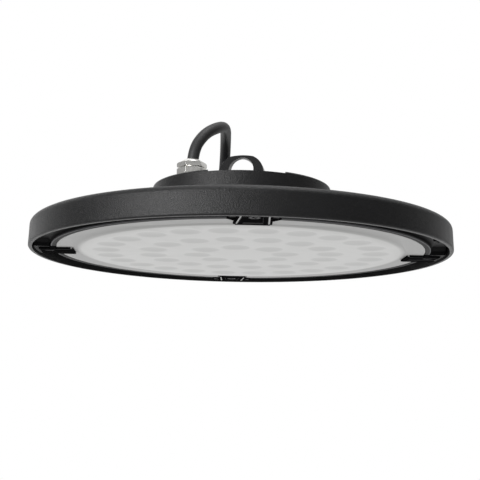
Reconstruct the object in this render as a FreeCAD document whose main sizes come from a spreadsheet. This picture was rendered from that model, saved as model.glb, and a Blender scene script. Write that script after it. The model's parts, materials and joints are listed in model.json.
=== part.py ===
import FreeCAD, Part
import math
import os
import re
import Sketcher
from FreeCAD import Placement, Rotation, Vector

# Slim round high bay light, hung by a cast eye.
# Frame: millimetres, +Z up, origin at the centre of the rim plane, two of the four lens clips on the X axis.

# ---------------------------------------------------------------- driving dimensions
DIMENSIONS = {
    "Top housing": {
        "rim_radius": 150.0, "rim_wall": 2.8, "skirt_taper": 0.7, "crown_height": 24.0,
        "crown_arc": 176.3, "crown_centre": 102.3, "shoulder_fillet": 4.2, "rim_fillet": 1.2,
        "housing_wall": 2.8, "recess_radius": 124.5, "recess_floor": 12.0, "hub_radius": 72.0,
        "wall_draft": 1.5, "fin_count": 36, "fin_thickness": 2.4, "fin_drop": 0.6,
        "pillar_radius": 4.2, "pillar_cover": 1.2,
    },
    "LED tray": {
        "tray_clearance": 0.3, "plate_thickness": 2.6, "ring_radius": 134.4, "ring_wall": 3.4,
        "ring_bottom": 1.5, "channel_fillet": 3.0, "bridge_half_angle": 6.0, "bridge_fillet": 3.0,
        "tray_screw_circle": 140.5, "tray_screw_count": 8,
    },
    "Lens": {
        "lens_clearance": 0.5, "lens_top": 3.2, "lens_face": 0.9, "flange_step": 0.7,
        "face_radius": 115.8, "optic_radius": 10.0, "optic_depth": 0.9, "optic_pitch": 32.0,
        "optic_turn": 9.8, "optic_count": 8, "lug_margin": 1.8, "lug_overhang": 0.4, "lug_start": 117.6,
        "lug_bottom": 0.6, "lug_top": 4.2, "clip_seat": 0.15,
    },
    "Lens clips": {
        "clip_inner": 119.5, "clip_overreach": 8.2, "clip_width": 18.6, "clip_tip_width": 15.4,
        "clip_thickness": 2.2, "clip_bottom": 0.2, "clip_corner": 1.6, "clip_screw_offset": 2.1,
        "clip_screw_head": 3.4, "clip_lip": 3.0, "clip_recess": 0.9,
    },
    "LED board": {
        "pad_thickness": 0.3, "board_thickness": 1.6, "board_radius": 113.0, "chip_size": 3.0,
        "chip_height": 0.8, "board_hole": 3.0, "board_screw_circle": 80.0, "board_screw_count": 8,
        "lens_gasket_radius": 113.8, "lens_gasket_width": 3.2, "terminal_size": 8.0,
        "terminal_height": 1.0,
    },
    "Driver cover": {
        "cover_radius": 66.2, "cover_taper": 2.0, "cover_height": 48.9, "cover_wall": 2.8,
        "cover_top_wall": 3.2, "cover_fillet": 1.6, "band_width": 52.0, "band_depth": 1.3,
        "gasket_thickness": 0.8, "gasket_width": 5.0, "cover_pillar_radius": 4.5,
        "cover_screw_circle": 50.0, "cable_boss_radius": 12.0, "cable_boss_height": 54.0,
        "gland_offset": 36.6,
    },
    "Hanging eye": {
        "eye_width": 32.8, "eye_foot_width": 35.4, "eye_height": 74.2, "eye_depth": 13.0,
        "eye_top_depth": 4.0, "eye_hole_width": 18.0, "eye_bar": 2.1, "eye_base_length": 46.0,
        "eye_base_width": 38.0, "eye_base_thickness": 3.0, "eye_screw_spacing": 34.0,
        "eye_rise": 12.4, "eye_turn": 12.0,
    },
    "Cable gland": {
        "gland_thread_radius": 8.0, "gland_flats": 19.0, "gland_collar_height": 2.3,
        "gland_hex_height": 5.6, "gland_gap": 0.5, "cap_hex_height": 3.6, "cap_height": 6.2,
        "washer_thickness": 1.2, "locknut_flats": 22.0, "locknut_height": 3.5, "gland_chamfer": 0.9,
        "gland_turn": 5.0,
    },
    "Cord": {
        "cord_diameter": 8.5, "core_diameter": 2.4, "ferrule_diameter": 1.7, "ferrule_length": 8.0,
        "core_length": 22.0,
    },
    "Driver": {
        "driver_length": 58.0, "driver_width": 58.0, "driver_height": 18.0, "driver_offset": 15.0,
        "driver_flange": 2.0, "block_length": 14.0, "block_width": 28.0, "block_height": 9.0,
        "grommet_radius": 6.0, "lead_diameter": 1.8,
    },
    "Fixings": {
        "small_screw": 1.5, "main_screw": 2.0, "eye_screw": 2.5, "fixing_clearance": 0.05,
        "passing_clearance": 0.3, "cover_screw_reach": 14.0,
        "driver_screw_reach": 8.0,
    },
}

doc = FreeCAD.newDocument("high_bay_light")
sizes = doc.addObject("Spreadsheet::Sheet", "Sizes")
ALIASES = set()
row = 0
for group, entries in DIMENSIONS.items():
    row += 1
    sizes.set("A%d" % row, group)
    for alias, number in entries.items():
        row += 1
        sizes.set("A%d" % row, alias.replace("_", " "))
        sizes.set("B%d" % row, "%g" % number)
        sizes.setAlias("B%d" % row, alias)
        ALIASES.add(alias)
doc.recompute()


# ---------------------------------------------------------------- helpers
def cells(text):
    """Turn the aliases in a formula into references to the sheet."""
    return re.sub(r"[a-z_]+", lambda word: "Sizes." + word[0] if word[0] in ALIASES else word[0], str(text))


def size(text):
    """The present value of a formula on the sheet."""
    return float(sizes.evalExpression(cells(text)))


def bind(item, **formulas):
    for name, formula in formulas.items():
        item.setExpression(name.replace("__", "."), cells(formula))
    return item


def primitive(kind, name, **formulas):
    return bind(doc.addObject("Part::" + kind, name), **formulas)


def cylinder(name, radius, bottom, top, x="0", y="0"):
    """An upright round bar between two heights."""
    return primitive("Cylinder", name, Radius=radius, Height="(%s) - (%s)" % (top, bottom),
                     Placement__Base__x=x, Placement__Base__y=y, Placement__Base__z=bottom)


def block(name, low, high):
    """A rectangular block between two corners, each given as three formulas."""
    spans = ["(%s) - (%s)" % (b, a) for a, b in zip(low, high)]
    return primitive("Box", name, Length=spans[0], Width=spans[1], Height=spans[2],
                     Placement__Base__x=low[0], Placement__Base__y=low[1], Placement__Base__z=low[2])


def hexagon(name, flats, bottom, top, x="0", turn="0"):
    bar = primitive("Prism", name, Circumradius="(%s) / 2 / cos(30)" % flats,
                    Height="(%s) - (%s)" % (top, bottom), Placement__Base__x=x, Placement__Base__z=bottom,
                    Placement__Rotation__Angle=turn)
    bar.Polygon = 6
    return bar


def cut(name, base, tool):
    item = doc.addObject("Part::Cut", name)
    item.Base = base
    item.Tool = tool
    return item


def fuse(name, pieces):
    item = doc.addObject("Part::MultiFuse", name)
    item.Shapes = pieces
    return item


def common(name, pieces):
    item = doc.addObject("Part::MultiCommon", name)
    item.Shapes = pieces
    return item


def cut_all(name, base, tools):
    return cut(name, base, tools[0] if len(tools) == 1 else fuse(name + "_tools", tools))


def ring(name, outer, inner, bottom, top, x="0", y="0"):
    """A plain round ring between two heights."""
    hole = cylinder(name + "_hole", inner, "(%s) - 1" % bottom, "(%s) + 1" % top, x, y)
    return cut(name, cylinder(name + "_bar", outer, bottom, top, x, y), hole)


def body(name):
    return doc.addObject("PartDesign::Body", name)


def sketch(owner, name, plane, height="0"):
    """A sketch on one of the body's own origin planes, raised to a height above it."""
    item = owner.newObject("Sketcher::SketchObject", name)
    face = [o for o in owner.Origin.OriginFeatures if o.Role == plane][0]
    item.AttachmentSupport = [(face, "")]
    item.MapMode = "FlatFace"
    if height != "0":
        item.setExpression("AttachmentOffset.Base.z", cells(height))
    return item


def outline(item, corners):
    """Closed outline: each corner is (x, y) or (x, y, radius, turn) where an arc leaves it.

    The turn is 1 where the arc runs counter-clockwise and -1 where it runs clockwise.
    """
    spots = [Vector(size(c[0]), size(c[1]), 0) for c in corners]
    first = item.GeometryCount
    ends = []
    for i, corner in enumerate(corners):
        a = spots[i]
        b = spots[(i + 1) % len(spots)]
        if len(corner) == 2:
            item.addGeometry(Part.LineSegment(a, b), False)
            ends.append((1, 2))
            continue
        radius = size(corner[2])
        half = (b - a) / 2
        left = Vector(-half.y, half.x, 0).normalize()
        centre = a + half + left * corner[3] * math.sqrt(radius * radius - half.Length ** 2)
        angles = [math.atan2(p.y - centre.y, p.x - centre.x) for p in (a, b)[::corner[3]]]
        whole = Part.Circle(centre, Vector(0, 0, 1), radius)
        item.addGeometry(Part.ArcOfCircle(whole, angles[0], angles[1]), False)
        ends.append((1, 2)[::corner[3]])
    count = len(corners)
    for i in range(count):
        j = (i + 1) % count
        item.addConstraint(Sketcher.Constraint("Coincident", first + i, ends[i][1], first + j, ends[j][0]))
    for i, corner in enumerate(corners):
        for kind, formula in (("DistanceX", corner[0]), ("DistanceY", corner[1])):
            index = item.addConstraint(
                Sketcher.Constraint(kind, -1, 1, first + i, ends[i][0], size(formula)))
            item.setExpression("Constraints[%d]" % index, cells(formula))
        if len(corner) > 2:
            index = item.addConstraint(Sketcher.Constraint("Radius", first + i, size(corner[2])))
            item.setExpression("Constraints[%d]" % index, cells(corner[2]))


def circle(item, x, y, radius):
    index = item.addGeometry(Part.Circle(Vector(size(x), size(y), 0), Vector(0, 0, 1), size(radius)), False)
    for kind, formula in (("DistanceX", x), ("DistanceY", y)):
        spot = item.addConstraint(Sketcher.Constraint(kind, -1, 1, index, 3, size(formula)))
        item.setExpression("Constraints[%d]" % spot, cells(formula))
    spot = item.addConstraint(Sketcher.Constraint("Radius", index, size(radius)))
    item.setExpression("Constraints[%d]" % spot, cells(radius))


def revolve(owner, name, corners):
    profile = sketch(owner, name + "_profile", "XZ_Plane")
    outline(profile, corners)
    item = owner.newObject("PartDesign::Revolution", name)
    item.Profile = profile
    item.ReferenceAxis = (profile, ["V_Axis"])
    item.Angle = 360
    doc.recompute()
    return item


def pad(owner, name, profile, length, midplane=False):
    item = owner.newObject("PartDesign::Pad", name)
    item.Profile = profile
    item.setExpression("Length", cells(length))
    item.Midplane = midplane
    doc.recompute()
    return item


def pocket(owner, name, profile, length, upwards=True):
    """A pocket that runs up (or down) from its sketch's plane, and has to take something away."""
    before = owner.Shape.Volume
    item = owner.newObject("PartDesign::Pocket", name)
    item.Profile = profile
    item.setExpression("Length", cells(length))
    item.Reversed = upwards
    doc.recompute()
    if owner.Shape.Volume > before - 0.01:
        raise RuntimeError(name + " cuts nothing")
    return item


def around(owner, name, features, count):
    """A full circle of copies about the body's Z axis."""
    item = owner.newObject("PartDesign::PolarPattern", name)
    item.Originals = features
    item.Axis = ([o for o in owner.Origin.OriginFeatures if o.Role == "Z_Axis"][0], [""])
    item.Angle = 360
    item.setExpression("Occurrences", cells(count))
    owner.Tip = item
    doc.recompute()
    return item


def round_edges(owner, name, wanted, radius):
    """Fillet the edges of the body's shape that the test picks out."""
    base = owner.Tip
    edges = ["Edge%d" % (i + 1) for i, edge in enumerate(base.Shape.Edges) if wanted(edge)]
    if not edges:
        raise RuntimeError(name + " finds no edge")
    item = owner.newObject("PartDesign::Fillet", name)
    item.Base = (base, edges)
    item.setExpression("Radius", cells(radius))
    doc.recompute()
    if not item.isValid():
        raise RuntimeError(name + " fails: " + item.getStatusString())
    return item


def is_ring_at(radius, height):
    """A test for a full circular edge about Z of a given radius and height."""
    def test(edge):
        curve = edge.Curve
        return (isinstance(curve, Part.Circle) and abs(curve.Radius - size(radius)) < 0.01
                and abs(curve.Center.z - size(height)) < 0.01 and abs(curve.Center.x) < 0.01)
    return test


PARTS = []


def subpart(item, label):
    item.Label = label
    PARTS.append(item)
    return item


# ---------------------------------------------------------------- shared heights and places
CLIP_OUTER = "(ring_radius + clip_overreach)"
CLIP_SCREW_CIRCLE = "(ring_radius + clip_screw_offset)"
LUG_REACH = "(ring_radius + clip_overreach + lug_overhang)"
PLATE_TOP = "recess_floor - housing_wall"
PLATE_BOTTOM = "recess_floor - housing_wall - plate_thickness"
BOARD_BOTTOM = "(%s) - pad_thickness - board_thickness" % PLATE_BOTTOM
SKIRT_TOP_RADIUS = "rim_radius - skirt_taper"
HUB_UNDERSIDE = "crown_height - housing_wall"
COVER_BOTTOM = "crown_height + gasket_thickness"
COVER_TOP_INSIDE = "cover_height - cover_top_wall"
BAND_FLOOR = "cover_height - band_depth"
GLAND_X = "0 - gland_offset"
SEAT_HEIGHT = "lug_top + clip_seat"
INNER_LEAD_END = "crown_height + block_height + 3"
BOARD_SCREW_TURN = "(optic_turn + 7.5)"


def crown(radius, arc="crown_arc"):
    """Height of the crowned top, or of its underside with a smaller arc, at a radius."""
    return "crown_height - crown_arc + sqrt((%s)^2 - (%s - crown_centre)^2)" % (arc, radius)


UNDER_ARC = "crown_arc - housing_wall"


# ---------------------------------------------------------------- top housing
def make_top_housing():
    shell = body("TopHousing")
    skirt_inside = "rim_radius - skirt_taper - rim_wall"
    recess_top = "recess_radius + wall_draft"
    recess_outside = "recess_radius + wall_draft + housing_wall"
    revolve(shell, "housing_shell", [
        ("rim_radius", "0"),
        (SKIRT_TOP_RADIUS, crown(SKIRT_TOP_RADIUS), "crown_arc", 1),
        (recess_top, crown(recess_top)),
        ("recess_radius", "recess_floor"),
        ("hub_radius", "recess_floor"),
        ("hub_radius - wall_draft", "crown_height"),
        ("0", "crown_height"),
        ("0", HUB_UNDERSIDE),
        ("hub_radius - wall_draft - housing_wall", HUB_UNDERSIDE),
        ("hub_radius - housing_wall", PLATE_TOP),
        ("recess_radius + housing_wall", PLATE_TOP),
        (recess_outside, crown(recess_outside, UNDER_ARC), UNDER_ARC, -1),
        (skirt_inside, crown(skirt_inside, UNDER_ARC)),
        ("rim_radius - rim_wall", "0"),
    ])
    round_edges(shell, "shoulder", is_ring_at(SKIRT_TOP_RADIUS, crown(SKIRT_TOP_RADIUS)), "shoulder_fillet")
    round_edges(shell, "rim_edge", is_ring_at("rim_radius", "0"), "rim_fillet")

    # radial cooling fins in the recess round the hub, a little below the crown
    fin = sketch(shell, "fin_profile", "XZ_Plane")
    outline(fin, [
        ("hub_radius - wall_draft - 1", "recess_floor - 1"),
        ("recess_radius + wall_draft + 1", "recess_floor - 1"),
        ("recess_radius + wall_draft + 1", crown("recess_radius + wall_draft + 1") + " - fin_drop"),
        ("hub_radius - wall_draft - 1", "crown_height - fin_drop"),
    ])
    fins = pad(shell, "fin", fin, "fin_thickness", midplane=True)
    around(shell, "fins", [fins], "fin_count")

    # screw pillars that come down from the crown on to the tray
    post = sketch(shell, "pillar_profile", "XY_Plane", PLATE_TOP)
    turn = "180 / tray_screw_count"
    spot_x = "tray_screw_circle * cos(%s)" % turn
    spot_y = "tray_screw_circle * sin(%s)" % turn
    circle(post, spot_x, spot_y, "pillar_radius")
    circle(post, spot_x, spot_y, "main_screw + fixing_clearance")
    reach = "(%s) - pillar_cover - (%s)" % (crown("tray_screw_circle"), PLATE_TOP)
    pillar = pad(shell, "pillar", post, reach)
    around(shell, "pillars", [pillar], "tray_screw_count")

    # holes in the hub for the cover's screws, the driver's screws and the leads down to the tray
    holes = sketch(shell, "hub_holes_profile", "XY_Plane", HUB_UNDERSIDE)
    for i in range(4):
        turn = "(45 + 90 * %d)" % i
        circle(holes, "cover_screw_circle * cos%s" % turn, "cover_screw_circle * sin%s" % turn,
               "main_screw + passing_clearance")
    circle(holes, "0", "0", "grommet_radius - 1.5")
    for side in ("0 - ", ""):
        circle(holes, "driver_offset", side + "(driver_width / 2 - 4)", "small_screw + fixing_clearance")
    pocket(shell, "hub_holes", holes, "housing_wall + 1")
    return subpart(shell, "top_housing")


# ---------------------------------------------------------------- LED tray
def clip_half(radius, extra="0"):
    """Half the width of a clip at a radius, with a margin round it: the clips taper outwards."""
    slope = "(clip_width - clip_tip_width) / (%s - clip_inner)" % CLIP_OUTER
    return "(clip_width - (%s) * (%s - clip_inner)) / 2 + %s" % (slope, radius, extra)


def wedge(item, inner, outer, extra):
    """The tapered plan of a clip, or of the lug or pocket round it, along X."""
    outline(item, [
        (inner, "0 - (%s)" % clip_half(inner, extra)),
        (outer, "0 - (%s)" % clip_half(outer, extra)),
        (outer, clip_half(outer, extra)),
        (inner, clip_half(inner, extra)),
    ])


def make_led_tray():
    tray = body("LedTray")
    ring_inside = "ring_radius - ring_wall"
    edge = "rim_radius - rim_wall - skirt_taper - tray_clearance"
    revolve(tray, "tray_disc", [
        ("0", PLATE_BOTTOM),
        (ring_inside, PLATE_BOTTOM),
        (ring_inside, "ring_bottom"),
        (edge, "ring_bottom"),
        (edge, PLATE_TOP),
        ("0", PLATE_TOP),
    ])

    # the annular channel outside the lens ring, broken by four bridges
    section = sketch(tray, "channel_profile", "XZ_Plane")
    section.AttachmentOffset = Placement(Vector(), Rotation(Vector(0, 1, 0), 45))
    outline(section, [
        ("ring_radius", "ring_bottom - 1"),
        (edge + " + 1", "ring_bottom - 1"),
        (edge + " + 1", PLATE_BOTTOM),
        ("ring_radius", PLATE_BOTTOM),
    ])
    before = tray.Shape.Volume
    channel = tray.newObject("PartDesign::Groove", "channel")
    channel.Profile = section
    channel.ReferenceAxis = (section, ["V_Axis"])
    channel.Midplane = True
    channel.setExpression("Angle", cells("90 - 2 * bridge_half_angle"))
    doc.recompute()
    if tray.Shape.Volume > before - 1:
        raise RuntimeError("channel cuts nothing")
    around(tray, "channels", [channel], "4")
    round_edges(tray, "bridge_corners", is_upright_at("ring_radius"), "bridge_fillet")
    round_edges(tray, "channel_corners", is_channel_corner, "channel_fillet")

    # seats for the lens lugs: raised pads inside the ring, then a pocket through ring and bridge
    seat = sketch(tray, "seat_profile", "XY_Plane", SEAT_HEIGHT)
    seat_margin = "lug_margin + lens_clearance + 1"
    wedge(seat, "lug_start + lens_clearance", "ring_radius - ring_wall + 1", seat_margin)
    seats = pad(tray, "seat", seat, "(%s) - (%s) + 0.5" % (PLATE_BOTTOM, SEAT_HEIGHT))
    around(tray, "seats", [seats], "4")
    slot = sketch(tray, "slot_profile", "XY_Plane", "ring_bottom - 1")
    wedge(slot, "ring_radius - ring_wall - 1", LUG_REACH + " + lens_clearance", "lug_margin + lens_clearance")
    slots = pocket(tray, "slot", slot, "(%s) - ring_bottom + 1" % SEAT_HEIGHT)
    around(tray, "slots", [slots], "4")

    # screw holes, and the hole for the leads
    holes = sketch(tray, "tray_hole_profile", "XY_Plane", "0")
    turn = "180 / tray_screw_count"
    circle(holes, "tray_screw_circle * cos(%s)" % turn, "tray_screw_circle * sin(%s)" % turn,
           "main_screw + passing_clearance")
    tray_holes = pocket(tray, "tray_hole", holes, "crown_height")
    around(tray, "tray_holes", [tray_holes], "tray_screw_count")
    holes = sketch(tray, "clip_hole_profile", "XY_Plane", "0")
    circle(holes, CLIP_SCREW_CIRCLE, "0", "main_screw + fixing_clearance")
    clip_holes = pocket(tray, "clip_hole", holes, "crown_height")
    around(tray, "clip_holes", [clip_holes], "4")
    holes = sketch(tray, "board_hole_profile", "XY_Plane", "0")
    turn = BOARD_SCREW_TURN
    circle(holes, "board_screw_circle * cos(%s)" % turn, "board_screw_circle * sin(%s)" % turn,
           "small_screw + fixing_clearance")
    board_holes = pocket(tray, "board_fixing", holes, "crown_height")
    around(tray, "board_fixings", [board_holes], "board_screw_count")
    holes = sketch(tray, "lead_hole_profile", "XY_Plane", "0")
    circle(holes, "0", "0", "board_hole + 1")
    pocket(tray, "lead_hole", holes, "crown_height")
    return subpart(tray, "led_tray")


def is_channel_corner(edge):
    """The edge between the channel's ceiling and the lens ring, with the turns at the bridges."""
    spots = [edge.valueAt(u) for u in edge.ParameterRange]
    reach = [math.hypot(p.x, p.y) for p in spots]
    level = all(abs(p.z - size(PLATE_BOTTOM)) < 0.01 for p in spots)
    return level and min(reach) > size("ring_radius") - 0.01 and min(reach) < size("tray_screw_circle")


def is_upright_at(radius):
    """A test for an upright straight edge at a radius from Z."""
    def test(edge):
        ends = [v.Point for v in edge.Vertexes]
        if len(ends) != 2 or abs(ends[0].z - ends[1].z) < 0.5:
            return False
        return all(abs(math.hypot(p.x, p.y) - size(radius)) < 0.01 for p in ends)
    return test


# ---------------------------------------------------------------- lens plate
def make_lens():
    lens = body("LensPlate")
    flange = "lens_face + flange_step"
    edge = "ring_radius - ring_wall - lens_clearance"
    revolve(lens, "lens_disc", [
        ("0", "lens_face"),
        ("face_radius", "lens_face"),
        ("face_radius + flange_step", flange),
        (edge, flange),
        (edge, "lens_top"),
        ("0", "lens_top"),
    ])
    lug = sketch(lens, "lug_profile", "XY_Plane", "lug_bottom")
    wedge(lug, "lug_start", LUG_REACH, "lug_margin")
    lugs = pad(lens, "lug", lug, "lug_top - lug_bottom")
    around(lens, "lugs", [lugs], "4")
    seat = sketch(lens, "clip_seat_profile", "XY_Plane", "lug_bottom - 1")
    wedge(seat, "clip_inner - clip_seat", LUG_REACH + " + 1", "clip_seat")
    depth = "clip_bottom + clip_thickness + clip_seat - lug_bottom + 1"
    seats = pocket(lens, "clip_seating", seat, depth)
    around(lens, "clip_seatings", [seats], "4")
    hole = sketch(lens, "lug_hole_profile", "XY_Plane", "0")
    circle(hole, CLIP_SCREW_CIRCLE, "0", "main_screw + passing_clearance")
    holes = pocket(lens, "lug_hole", hole, "crown_height")
    around(lens, "lug_holes", [holes], "4")

    # the optics: shallow round dishes in the outer face, in three rings
    ball = "(optic_radius^2 + optic_depth^2) / (2 * optic_depth)"
    for number in (1, 2, 3):
        dish = lens.newObject("PartDesign::SubtractiveSphere", "optic_%d" % number)
        bind(dish, Radius=ball,
             Placement__Base__x="%d * optic_pitch * cos(optic_turn)" % number,
             Placement__Base__y="0 - %d * optic_pitch * sin(optic_turn)" % number,
             Placement__Base__z="lens_face + optic_depth - (%s)" % ball)
        doc.recompute()
        around(lens, "optics_%d" % number, [dish], "optic_count * %d" % number)
    return subpart(lens, "lens_plate")


# ---------------------------------------------------------------- lens clips
def make_lens_clip(number):
    clip = body("LensClip%d" % number)
    plan = sketch(clip, "clip_plan_%d" % number, "XY_Plane", "clip_bottom")
    wedge(plan, "clip_inner", CLIP_OUTER, "0")
    pad(clip, "clip_plate_%d" % number, plan, "clip_thickness")
    round_edges(clip, "clip_corners_%d" % number, is_upright_within("clip_inner + 1"), "clip_corner")
    dish = sketch(clip, "clip_dish_plan_%d" % number, "XY_Plane", "clip_bottom - 1")
    wedge(dish, "clip_inner + clip_lip", CLIP_OUTER + " + 1", "0 - clip_lip")
    pocket(clip, "clip_dish_%d" % number, dish, "clip_recess + 1")
    hole = sketch(clip, "clip_bore_plan_%d" % number, "XY_Plane", "0")
    circle(hole, CLIP_SCREW_CIRCLE, "0", "main_screw + passing_clearance")
    pocket(clip, "clip_bore_%d" % number, hole, "crown_height")
    sink = clip.newObject("PartDesign::SubtractiveCone", "clip_sink_%d" % number)
    head = "clip_screw_head + passing_clearance"
    bind(sink, Radius1=head, Radius2="0.2", Height="%s - 0.2" % head,
         Placement__Base__x=CLIP_SCREW_CIRCLE, Placement__Base__z="clip_bottom + clip_recess")
    doc.recompute()
    clip.Placement = Placement(Vector(), Rotation(Vector(0, 0, 1), 90 * (number - 1)))
    return subpart(clip, "lens_clip_%d" % number)


def is_upright_within(radius):
    """A test for an upright straight edge nearer to Z than a limit in X."""
    def test(edge):
        ends = [v.Point for v in edge.Vertexes]
        return abs(ends[0].z - ends[-1].z) > 0.5 and ends[0].x < size(radius)
    return test


# ---------------------------------------------------------------- driver cover
def make_driver_cover():
    cover = body("DriverCover")
    top_radius = "cover_radius - cover_taper"
    revolve(cover, "cover_shell", [
        ("cover_radius", COVER_BOTTOM),
        (top_radius, "cover_height"),
        ("0", "cover_height"),
        ("0", COVER_TOP_INSIDE),
        (top_radius + " - cover_wall", COVER_TOP_INSIDE),
        ("cover_radius - cover_wall", COVER_BOTTOM),
    ])
    round_edges(cover, "cover_edge", is_ring_at(top_radius, "cover_height"), "cover_fillet")
    band = sketch(cover, "band_profile", "XY_Plane", BAND_FLOOR)
    outline(band, [
        ("0 - band_width / 2", "0 - cover_radius - 1"),
        ("band_width / 2", "0 - cover_radius - 1"),
        ("band_width / 2", "cover_radius + 1"),
        ("0 - band_width / 2", "cover_radius + 1"),
    ])
    pocket(cover, "band", band, "band_depth + 1")

    # boss for the gland, and pillars for the screws that come up from the hub
    boss = sketch(cover, "boss_profile", "XY_Plane", COVER_TOP_INSIDE)
    circle(boss, GLAND_X, "0", "cable_boss_radius")
    pad(cover, "cable_boss", boss, "cable_boss_height - (%s)" % COVER_TOP_INSIDE)
    hole = sketch(cover, "gland_hole_profile", "XY_Plane", "0")
    circle(hole, GLAND_X, "0", "gland_thread_radius + fixing_clearance")
    pocket(cover, "gland_hole", hole, "cable_boss_height + 1")
    post = sketch(cover, "cover_post_profile", "XY_Plane", COVER_BOTTOM)
    for radius in ("cover_pillar_radius", "main_screw + fixing_clearance"):
        circle(post, "cover_screw_circle * cos(45)", "cover_screw_circle * sin(45)", radius)
    pillar = pad(cover, "cover_post", post, "(%s) - (%s) + 0.5" % (COVER_TOP_INSIDE, COVER_BOTTOM))
    around(cover, "cover_posts", [pillar], "4")
    holes = sketch(cover, "eye_hole_profile", "XY_Plane", "0")
    for side in ("0 - ", ""):
        circle(holes, side + "eye_screw_spacing / 2 * sin(eye_turn)",
               side + "eye_screw_spacing / 2 * cos(eye_turn)", "eye_screw + fixing_clearance")
    pocket(cover, "eye_holes", holes, "cover_height + 1")
    return subpart(cover, "driver_cover")


# ---------------------------------------------------------------- hanging eye
def make_hanging_eye():
    eye = body("HangingEye")
    foot = sketch(eye, "eye_base_profile", "XY_Plane", BAND_FLOOR)
    outline(foot, [
        ("0 - eye_base_width / 2", "0 - eye_base_length / 2"),
        ("eye_base_width / 2", "0 - eye_base_length / 2"),
        ("eye_base_width / 2", "eye_base_length / 2"),
        ("0 - eye_base_width / 2", "eye_base_length / 2"),
    ])
    pad(eye, "eye_base", foot, "eye_base_thickness")
    round_edges(eye, "eye_base_corners", is_upright_within("1000"), "eye_base_width / 5")

    foot_height = BAND_FLOOR + " + eye_base_thickness"
    shoulder = "eye_height - eye_rise"
    arch = sketch(eye, "arch_profile", "XZ_Plane")
    brow = "eye_width / 4"
    outline(arch, [
        ("0 - eye_foot_width / 2", foot_height + " - 1"),
        ("eye_foot_width / 2", foot_height + " - 1"),
        ("eye_width / 2", shoulder, "eye_width * 0.45", 1),
        (brow, "eye_height - 0.9", "eye_width * 1.2", 1),
        ("0 - " + brow, "eye_height - 0.9", "eye_width * 0.45", 1),
        ("0 - eye_width / 2", shoulder),
    ])
    hole_half = "eye_hole_width / 2"
    outline(arch, [
        ("0 - " + hole_half, foot_height + " + 2"),
        (hole_half, foot_height + " + 2"),
        (hole_half, shoulder, hole_half + " * 1.06", 1),
        ("0", "eye_height - eye_bar", hole_half + " * 1.06", 1),
        ("0 - " + hole_half, shoulder),
    ])
    pad(eye, "arch", arch, "eye_depth", midplane=True)

    # the front and back lean in towards the top
    lean = sketch(eye, "lean_profile", "YZ_Plane")
    for side, order in (("", 1), ("0 - ", -1)):
        outline(lean, [
            (side + "(eye_depth / 2 + 1)", shoulder + " - 6"),
            (side + "(eye_depth / 2 + 1)", "eye_height + 1"),
            (side + "eye_top_depth / 2", "eye_height + 1"),
            (side + "eye_top_depth / 2", "eye_height"),
        ][::order])
    before = eye.Shape.Volume
    slope = eye.newObject("PartDesign::Pocket", "lean")
    slope.Profile = lean
    slope.Midplane = True
    slope.setExpression("Length", cells("eye_foot_width + 2"))
    doc.recompute()
    if eye.Shape.Volume > before - 1:
        raise RuntimeError("lean cuts nothing")
    holes = sketch(eye, "eye_bolt_profile", "XY_Plane", "0")
    for side in ("0 - ", ""):
        circle(holes, "0", side + "eye_screw_spacing / 2", "eye_screw + passing_clearance")
    pocket(eye, "eye_bolts", holes, "cover_height + 10")
    eye.Placement = Placement(Vector(), Rotation(Vector(0, 0, -1), size("eye_turn")))
    return subpart(eye, "hanging_eye")


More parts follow.
